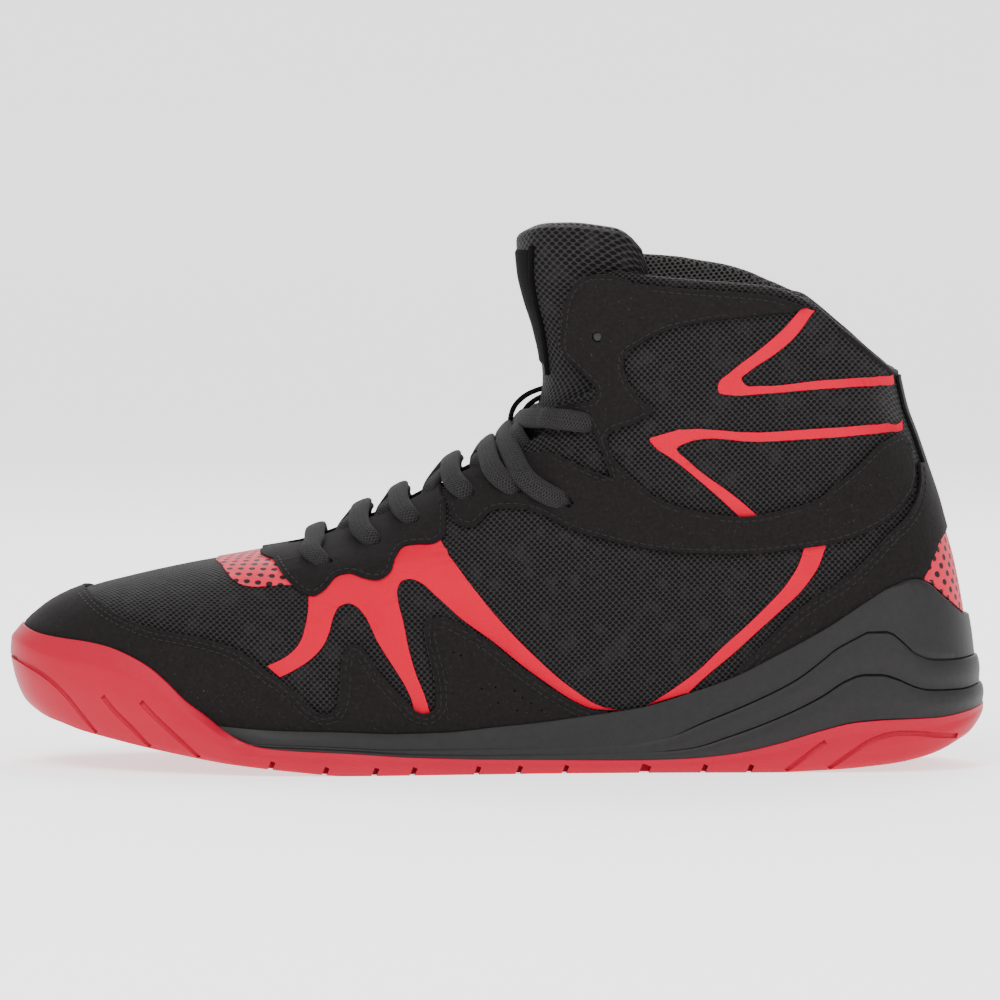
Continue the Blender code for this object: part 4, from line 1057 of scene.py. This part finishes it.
# Midsole
# Charcoal foam, moulded thin under the forefoot and rising to a cup round the heel, with two steps that run
# as waves round the heel; the upper is cemented into it.
MIDSOLE_LIP = 1.4
BUMPER_WALL = 3.9
BUMPER_END = (-98, -64)      # where the toe's bumper runs out
STEP_DEPTH, CREASE = 1.0, 0.4
STEP_START = (46, 74)        # where the steps grow out of the plain wall
TOE_NOSE_OUTER, TOE_NOSE_INNER, HEEL_NOSE = 95.0, 62.0, 38.0
cup_floor = profile(
    (-146, 22.5), (-135, 18.3), (-122, 13.8), (-110, 11), (-97, 9.2), (-85, 8.2), (-73, 7.8), *RUBBER_TOP,
)
step_lower = profile(
    (40, 5.5), (59.3, 7.4), (71.1, 10.9), (85, 16.1), (98.9, 22.8), (107.2, 28), (112.1, 29.7), (116.9, 29.7),
    (121.9, 28.3), (126.8, 26.1), (131.1, 24.9), (136.1, 24.6), (142.8, 24.5), (150, 25.4),
)
step_upper = profile(
    (40, 8), (53.7, 10.9), (64.2, 15.1), (78, 20.7), (91.9, 27.6), (102.3, 35.3), (109.3, 41.2), (114.1, 42.6),
    (119.7, 42.6), (123.2, 40.1), (128.2, 35.8), (134.7, 33.8), (143.5, 33.5), (150, 34),
)


def sole_outline(v):
    v = np.asarray(v, float) % 2
    outer = v <= 1
    half = OUTSOLE_LENGTH / 2
    x = -half * np.cos(np.pi * np.minimum(v, 2 - v))
    rounding = nose((x + half) / np.where(outer, TOE_NOSE_OUTER, TOE_NOSE_INNER), TOE_ROUND)
    rounding = rounding * nose((half - x) / HEEL_NOSE, HEEL_ROUND)
    y = centre(x) + np.where(outer, -plan_outer(x), plan_inner(x)) * rounding
    return np.stack([x, y, 0 * x], -1)


def sole_edge(v, inset):
    """The sole's outline in plan, moved in by an inset."""
    along = sole_outline(v + 0.004) - sole_outline(v - 0.004)
    inward = unit(np.stack([-along[:, 1], along[:, 0], 0 * along[:, 0]], -1))
    return sole_outline(v) + inward * np.broadcast_to(inset, v.shape)[:, None], inward


def with_height(points, z):
    return np.stack([points[:, 0], points[:, 1], np.broadcast_to(z, points[:, 0].shape)], -1)


columns = np.linspace(0, 2, 321)
x = sole_outline(columns)[:, 0]
cup_wall = BUMPER_WALL * (1 - ease(*BUMPER_END, x))
foot, inward = sole_edge(columns, cup_wall + 3 * GAP)
foot = with_height(foot, cup_floor(foot[:, 0]) + GAP)
lip_level = meet(skin, columns, midsole_top, 0)
lip = skin(columns, lip_level, GAP + MIDSOLE_LIP)
lip = with_height(lip, midsole_top(lip[:, 0]))
depth = STEP_DEPTH * ease(*STEP_START, x)
tall = lip[:, 2] - foot[:, 2]
lower = np.clip((step_lower(x) - foot[:, 2]) / tall, 0.15, 0.45)
upper_step = np.clip((step_upper(x) - foot[:, 2]) / tall, lower + 0.15, 0.75)
rows = [to_centre(foot, 1), to_centre(foot, 0.3)]
for start, end, proud in ((0 * lower, lower, 1), (lower, upper_step, 1), (upper_step, 0 * lower + 1, 0.3)):
    for s in (0.03, 0.12, 0.25, 0.4, 0.55, 0.7, 0.82, 0.91, 0.97):
        step = proud * (0.15 + 0.85 * ease(0, 0.6, s)) * (1 - 0.35 * ease(0.82, 1, s))
        swelling = 0.36 * math.sin(math.pi * s) * (1 - depth / STEP_DEPTH)
        rows.append(lerp(foot, lip, lerp(start, end, s)[:, None]) - inward * (depth * step + swelling)[:, None])
    if proud == 1:
        rows.append(lerp(foot, lip, end[:, None]) + inward * (CREASE * depth)[:, None])
rows += [with_height(lip, lip[:, 2] - 0.5) - inward * 0.1, lip + inward * 0.35, skin(columns, lip_level, GAP)]
rows[-1] = with_height(rows[-1], lip[:, 2] - 0.3)
bed = skin(columns, 0.002, GAP)
rows += [bed, to_centre(bed, 1)]
foam = mottled(
    "charcoal_foam", 0.55, 0.28, (500, 4), (0.0057, 0.0051, 0.0055), (0.0127, 0.0114, 0.0122),
    (2800, 2, 0.00012, 0.5), (150, 3, 0.0005, 0.2),
)
show("midsole_foam", loft(rows), [foam], ["midsole"], 40)

# Outsole
# Red rubber, moulded in one piece and cemented to the foam: a flat tread with short sipes along its edges, a
# bumper that wraps up over the toe, curved flex grooves at the toe and the heel, and a bevelled heel.
BUMPER_RIM = 1.5
OUTSOLE_INSET = 0.6
EDGE_TUCK = 3.5
ground = profile(
    (-150, 26), (-146, 21), (-143, 18.6), (-137, 15.4), (-133, 14.2), (-126.7, 12.2), (-120.4, 10.8),
    (-108, 8.2), (-95.7, 5.9), (-83.5, 3.8), (-71.4, 2.4), (-59, 1.1), (-46, 0), (84, 0), (92, 0.3), (104, 0.9),
    (116, 2.1), (122, 2.9), (128.3, 4.2), (134.5, 6.1), (141, 9.3), (144.2, 11.1), (147.6, 14.6), (150, 17.4),
)
SIPES = (
    (-68.1, 1.4), (-51.8, 1.4), (-36.8, 1.4), (-25.3, 1.4), (-6, 1.3), (6.6, 1.3), (20.6, 1.3), (44.8, 2.8),
    (62.7, 1.4), (76.6, 1.4),
)
SIPE_DEPTH, SIPE_SLANT = 2.6, math.radians(22)
SIPE_LENGTH = 14             # half of it in the rubber
GROOVE = 0.8
TOE_TIP = (9, 33.6)
GROOVES = (
    ((-121.6, 11.7), (-126.6, 17.4), (-131.4, 23.1), (-138.3, 28.6), (-144, 31.4), (-147.4, 32.8)),
    ((-119.6, 23.2), (-116.4, 19.3), (-111, 14.2), (-105.7, 8.9), (-104.9, 8.2)),
    ((-107.7, 21.9), (-104.3, 18.4), (-97.7, 12.4), (-91, 6.4), (-89.8, 5.4)),
    ((100.6, 1.3), (107.3, 6), (113.5, 9.9), (118.4, 11.6), (125.4, 12), (134, 11), (140.2, 10.4)),
    ((87.6, 0.6), (92, 3.9), (96.1, 7.1), (99.6, 9.5)),
)
toe = 1 - ease(BUMPER_END[0] + 2, BUMPER_END[1] - 6, x)
edge_inset = lerp(OUTSOLE_INSET, 0, toe)
tall = bumper_top(x) - ground(x)
tuck = np.minimum(EDGE_TUCK, 0.25 * tall)
tuck_at = curve((0, 0.06, 0.14, 0.22, 0.5, 0.8), (1, 0.68, 0.42, 0.28, 0, 0.1))
wall_rows = []
for share in (0, 0.04, 0.09, 0.15, 0.22, 0.32, 0.42, 0.5, 0.6, 0.7, 0.78):
    ring, inward = sole_edge(columns, edge_inset + tuck * tuck_at(share))
    wall_rows.append(with_height(ring, lerp(ground(ring[:, 0]), bumper_top(ring[:, 0]), share)))
flat_top = sole_edge(columns, edge_inset)[0]
flat_top = with_height(flat_top, bumper_top(flat_top[:, 0]) + 0.25)
rim_level = meet(skin, columns, bumper_top, 0)
rim = lerp(flat_top, skin(columns, rim_level, GAP + BUMPER_RIM), toe[:, None])
inner_rim = lerp(flat_top + inward * 1.5, skin(columns, rim_level, 0.1), toe[:, None])
shoulder = with_height(sole_edge(columns, edge_inset + tuck * 0.1)[0], lerp(ground(x), bumper_top(x), 0.8))
wall_top = wall_rows[-1]
for s in (0.15, 0.35, 0.55, 0.75, 0.9, 0.97):
    wall_rows.append(lerp(lerp(wall_top, shoulder, s), lerp(shoulder, rim, s), s))
soft_rim = lerp(rim, inner_rim, 0.35) + (0, 0, 0.25)
sole_floor = with_height(sole_edge(columns, cup_wall + 2.5)[0], cup_floor(x))
rows = [to_centre(wall_rows[0], 1), to_centre(wall_rows[0], 0.25)] + wall_rows
rows += [rim, soft_rim, inner_rim, sole_floor, to_centre(sole_floor, 1)]
rubber = mottled(
    "red_rubber", 0.45, 0.16, (60, 4), (0.35, 0.003, 0.02), (0.41, 0.0042, 0.026),
    (2400, 2, 0.0001, 0.45), (120, 3, 0.0006, 0.2),
)
sole = loft(rows)
bmesh.ops.recalc_face_normals(sole, faces=sole.faces)
shell = BVHTree.FromBMesh(sole)


def on_shell(side, line):
    """Points of the outsole's wall that a line of the side view crosses, on one side."""
    hits = [shell.ray_cast(Vector((x, 200 * side, z)) * MM, Vector((0, -side, 0)))[0] for x, z in line]
    return [np.array(hit) / MM for hit in hits if hit is not None]


cutters = []
for k, groove in enumerate(GROOVES):
    outer, inner = (on_shell(side, flowing(groove)) for side in (-1, 1))
    if k == 0:
        tip = shell.ray_cast(Vector((-200, *TOE_TIP)) * MM, Vector((1, 0, 0)))[0]
        paths = [outer + [np.array(tip) / MM] + inner[::-1]]
    else:
        paths = [outer, inner]
    for path in paths:
        cutters.append(tube(path, (0, 0.3, 1.0), 2 * GROOVE, 2 * GROOVE, around=10))
bm = bmesh.new()
outline = sole_outline(columns)
heel = len(outline) // 2
for at, width in SIPES:
    for half in (outline[:heel + 1], outline[:heel - 1:-1]):
        edge_y = np.interp(at, half[:, 0], half[:, 1])
        stand = Matrix.Translation(Vector((at, edge_y, ground(at) + SIPE_DEPTH / 2 - 0.5)) * MM)
        shape = Matrix.Diagonal((width * MM, SIPE_LENGTH * MM, (SIPE_DEPTH + 1) * MM, 1))
        bmesh.ops.create_cube(bm, size=1, matrix=stand @ Matrix.Rotation(SIPE_SLANT, 4, "Y") @ shape)
sole = cut(cut(sole, bm, "MANIFOLD"), join(cutters), "MANIFOLD")
show("outsole_rubber", sole, [rubber], ["outsole"], 40)

# Lace
# A flat knitted lace of heathered black yarn, puffed by its core. Each run comes out of an eyelet, crosses the
# throat and dives under its other edge; the ends are tucked away at the top pair that the lace reaches.
LACING = table(
    "crossing crest dive",
    (0.413, 3.2, -60), (0.456, 4.6, -50), (0.494, 4.5, -37.5), (0.558, 4.5, -23.5), (0.6045, 2.4, -7.4),
    (0.638, 1.4, 2.6), (0.668, -0.3, 6),
)
LAST_DIVE = (29.6, 105.7)    # the lace covers it, so nothing is punched there
LACE_WIDTH, LACE_THICKNESS = 6.6, 2.7
KNIT_PITCH, KNIT_SLOPE = 0.85, 0.8
LACED_LEVELS = (0.395, 0.64)
UNDER = 1.6                  # how much lower the run below lies at a crossing
lace_ends = chart((*EYELETS[:6], LAST_DIVE))
yarn, tree, shader = new_finish("black_lace", 0.85, 0.12, 0.03)
spot = node(tree, "SeparateXYZ", {0: node(tree, "UVMap", uv_map="weave").outputs["UV"]}).outputs
waves = []
for slope in (KNIT_SLOPE, -KNIT_SLOPE):
    slant = calc(tree, "MULTIPLY_ADD", spot[1], slope, spot[0])
    waves.append(calc(tree, "SINE", calc(tree, "MULTIPLY", slant, 2 * math.pi / (KNIT_PITCH * MM))))
knit = ramp(tree, calc(tree, "MAXIMUM", *waves), -0.4, 1)
fleck = ramp(tree, calc(tree, "MULTIPLY", noise(tree, 1500, 2), knit), 0, 0.6)
paint(shader, tint(tree, fleck, (0.006, 0.0055, 0.0058), (0.026, 0.0243, 0.0252)))
relief(tree, shader, noise(tree, 4500, 2), 0.00012, 0.5)
relief(tree, shader, knit, 0.0003, 0.6)


def strand(start, crossing, end, crest):
    """A run of lace from an eyelet over the ridge to under the other side of the throat."""
    s = np.linspace(0, 1, 60)
    middle = abs(start[0]) / (abs(start[0]) + abs(end[0]))
    turn = lerp(start[0], end[0], s)
    t = curve((0, middle, 1), (start[1], crossing, end[1]))(s)
    lift = curve((0, 0.03, 0.08, 0.16, middle, 0.9, 1), (-1.6, 0.7, 2.1, 2.7, crest, 1.6, -2.0))(s)
    taper = curve((0, 0.04, 0.1, 0.9, 1), (0.6, 0.92, 1, 1, 0.85))(s)
    points = lifted(turn, t, lift)
    return tube(points, lifted(turn, t, lift + 1) - points, LACE_WIDTH, LACE_THICKNESS, taper)


edge_levels = np.linspace(*LACED_LEVELS, 200)
edge_stations = last(throat_turn(edge_levels), edge_levels)[:, 0]
runs = [strand(lace_ends[0], LACING.crossing[0], lace_ends[0] * FLIP, LACING.crest[0])]
for k in range(1, len(lace_ends)):
    drop = np.interp(LACING.dive[k], edge_stations, edge_levels)
    far = np.array((-float(throat_turn(drop)) - 0.02, drop))
    runs.append(strand(lace_ends[k], LACING.crossing[k], far, LACING.crest[k]))
    runs.append(strand(lace_ends[k] * FLIP, LACING.crossing[k], far * FLIP, LACING.crest[k] - UNDER))
show("knit_lace", join(runs), [yarn], ["lace"], 60)

# Keeper loop
# A loop of thin satin cord, sewn by both ends to the front of the tongue; the top crossing of the lace passes
# under it and so keeps the tongue in place.
KEEPER_CORD = 1.6
KEEPER = (
    (1.5, (17, 116), (13, 115), (8.6, 113), (5.2, 109.5), (4, 105), (4.6, 100.5), (7.5, 97)),
    (-2.5, (17, 114), (13, 112.6), (9.4, 110), (7.4, 106.4), (6.6, 102.6), (7.2, 99), (9.5, 96)),
)
legs = []
for y, *path in KEEPER:
    line = flowing(path)
    points = np.stack([line[:, 0], np.full(len(line), y), line[:, 1]], -1)
    legs.append(tube(points, (0, 1.0, 0), KEEPER_CORD, KEEPER_CORD))
show("keeper_loop", join(legs), [satin], [], 60)
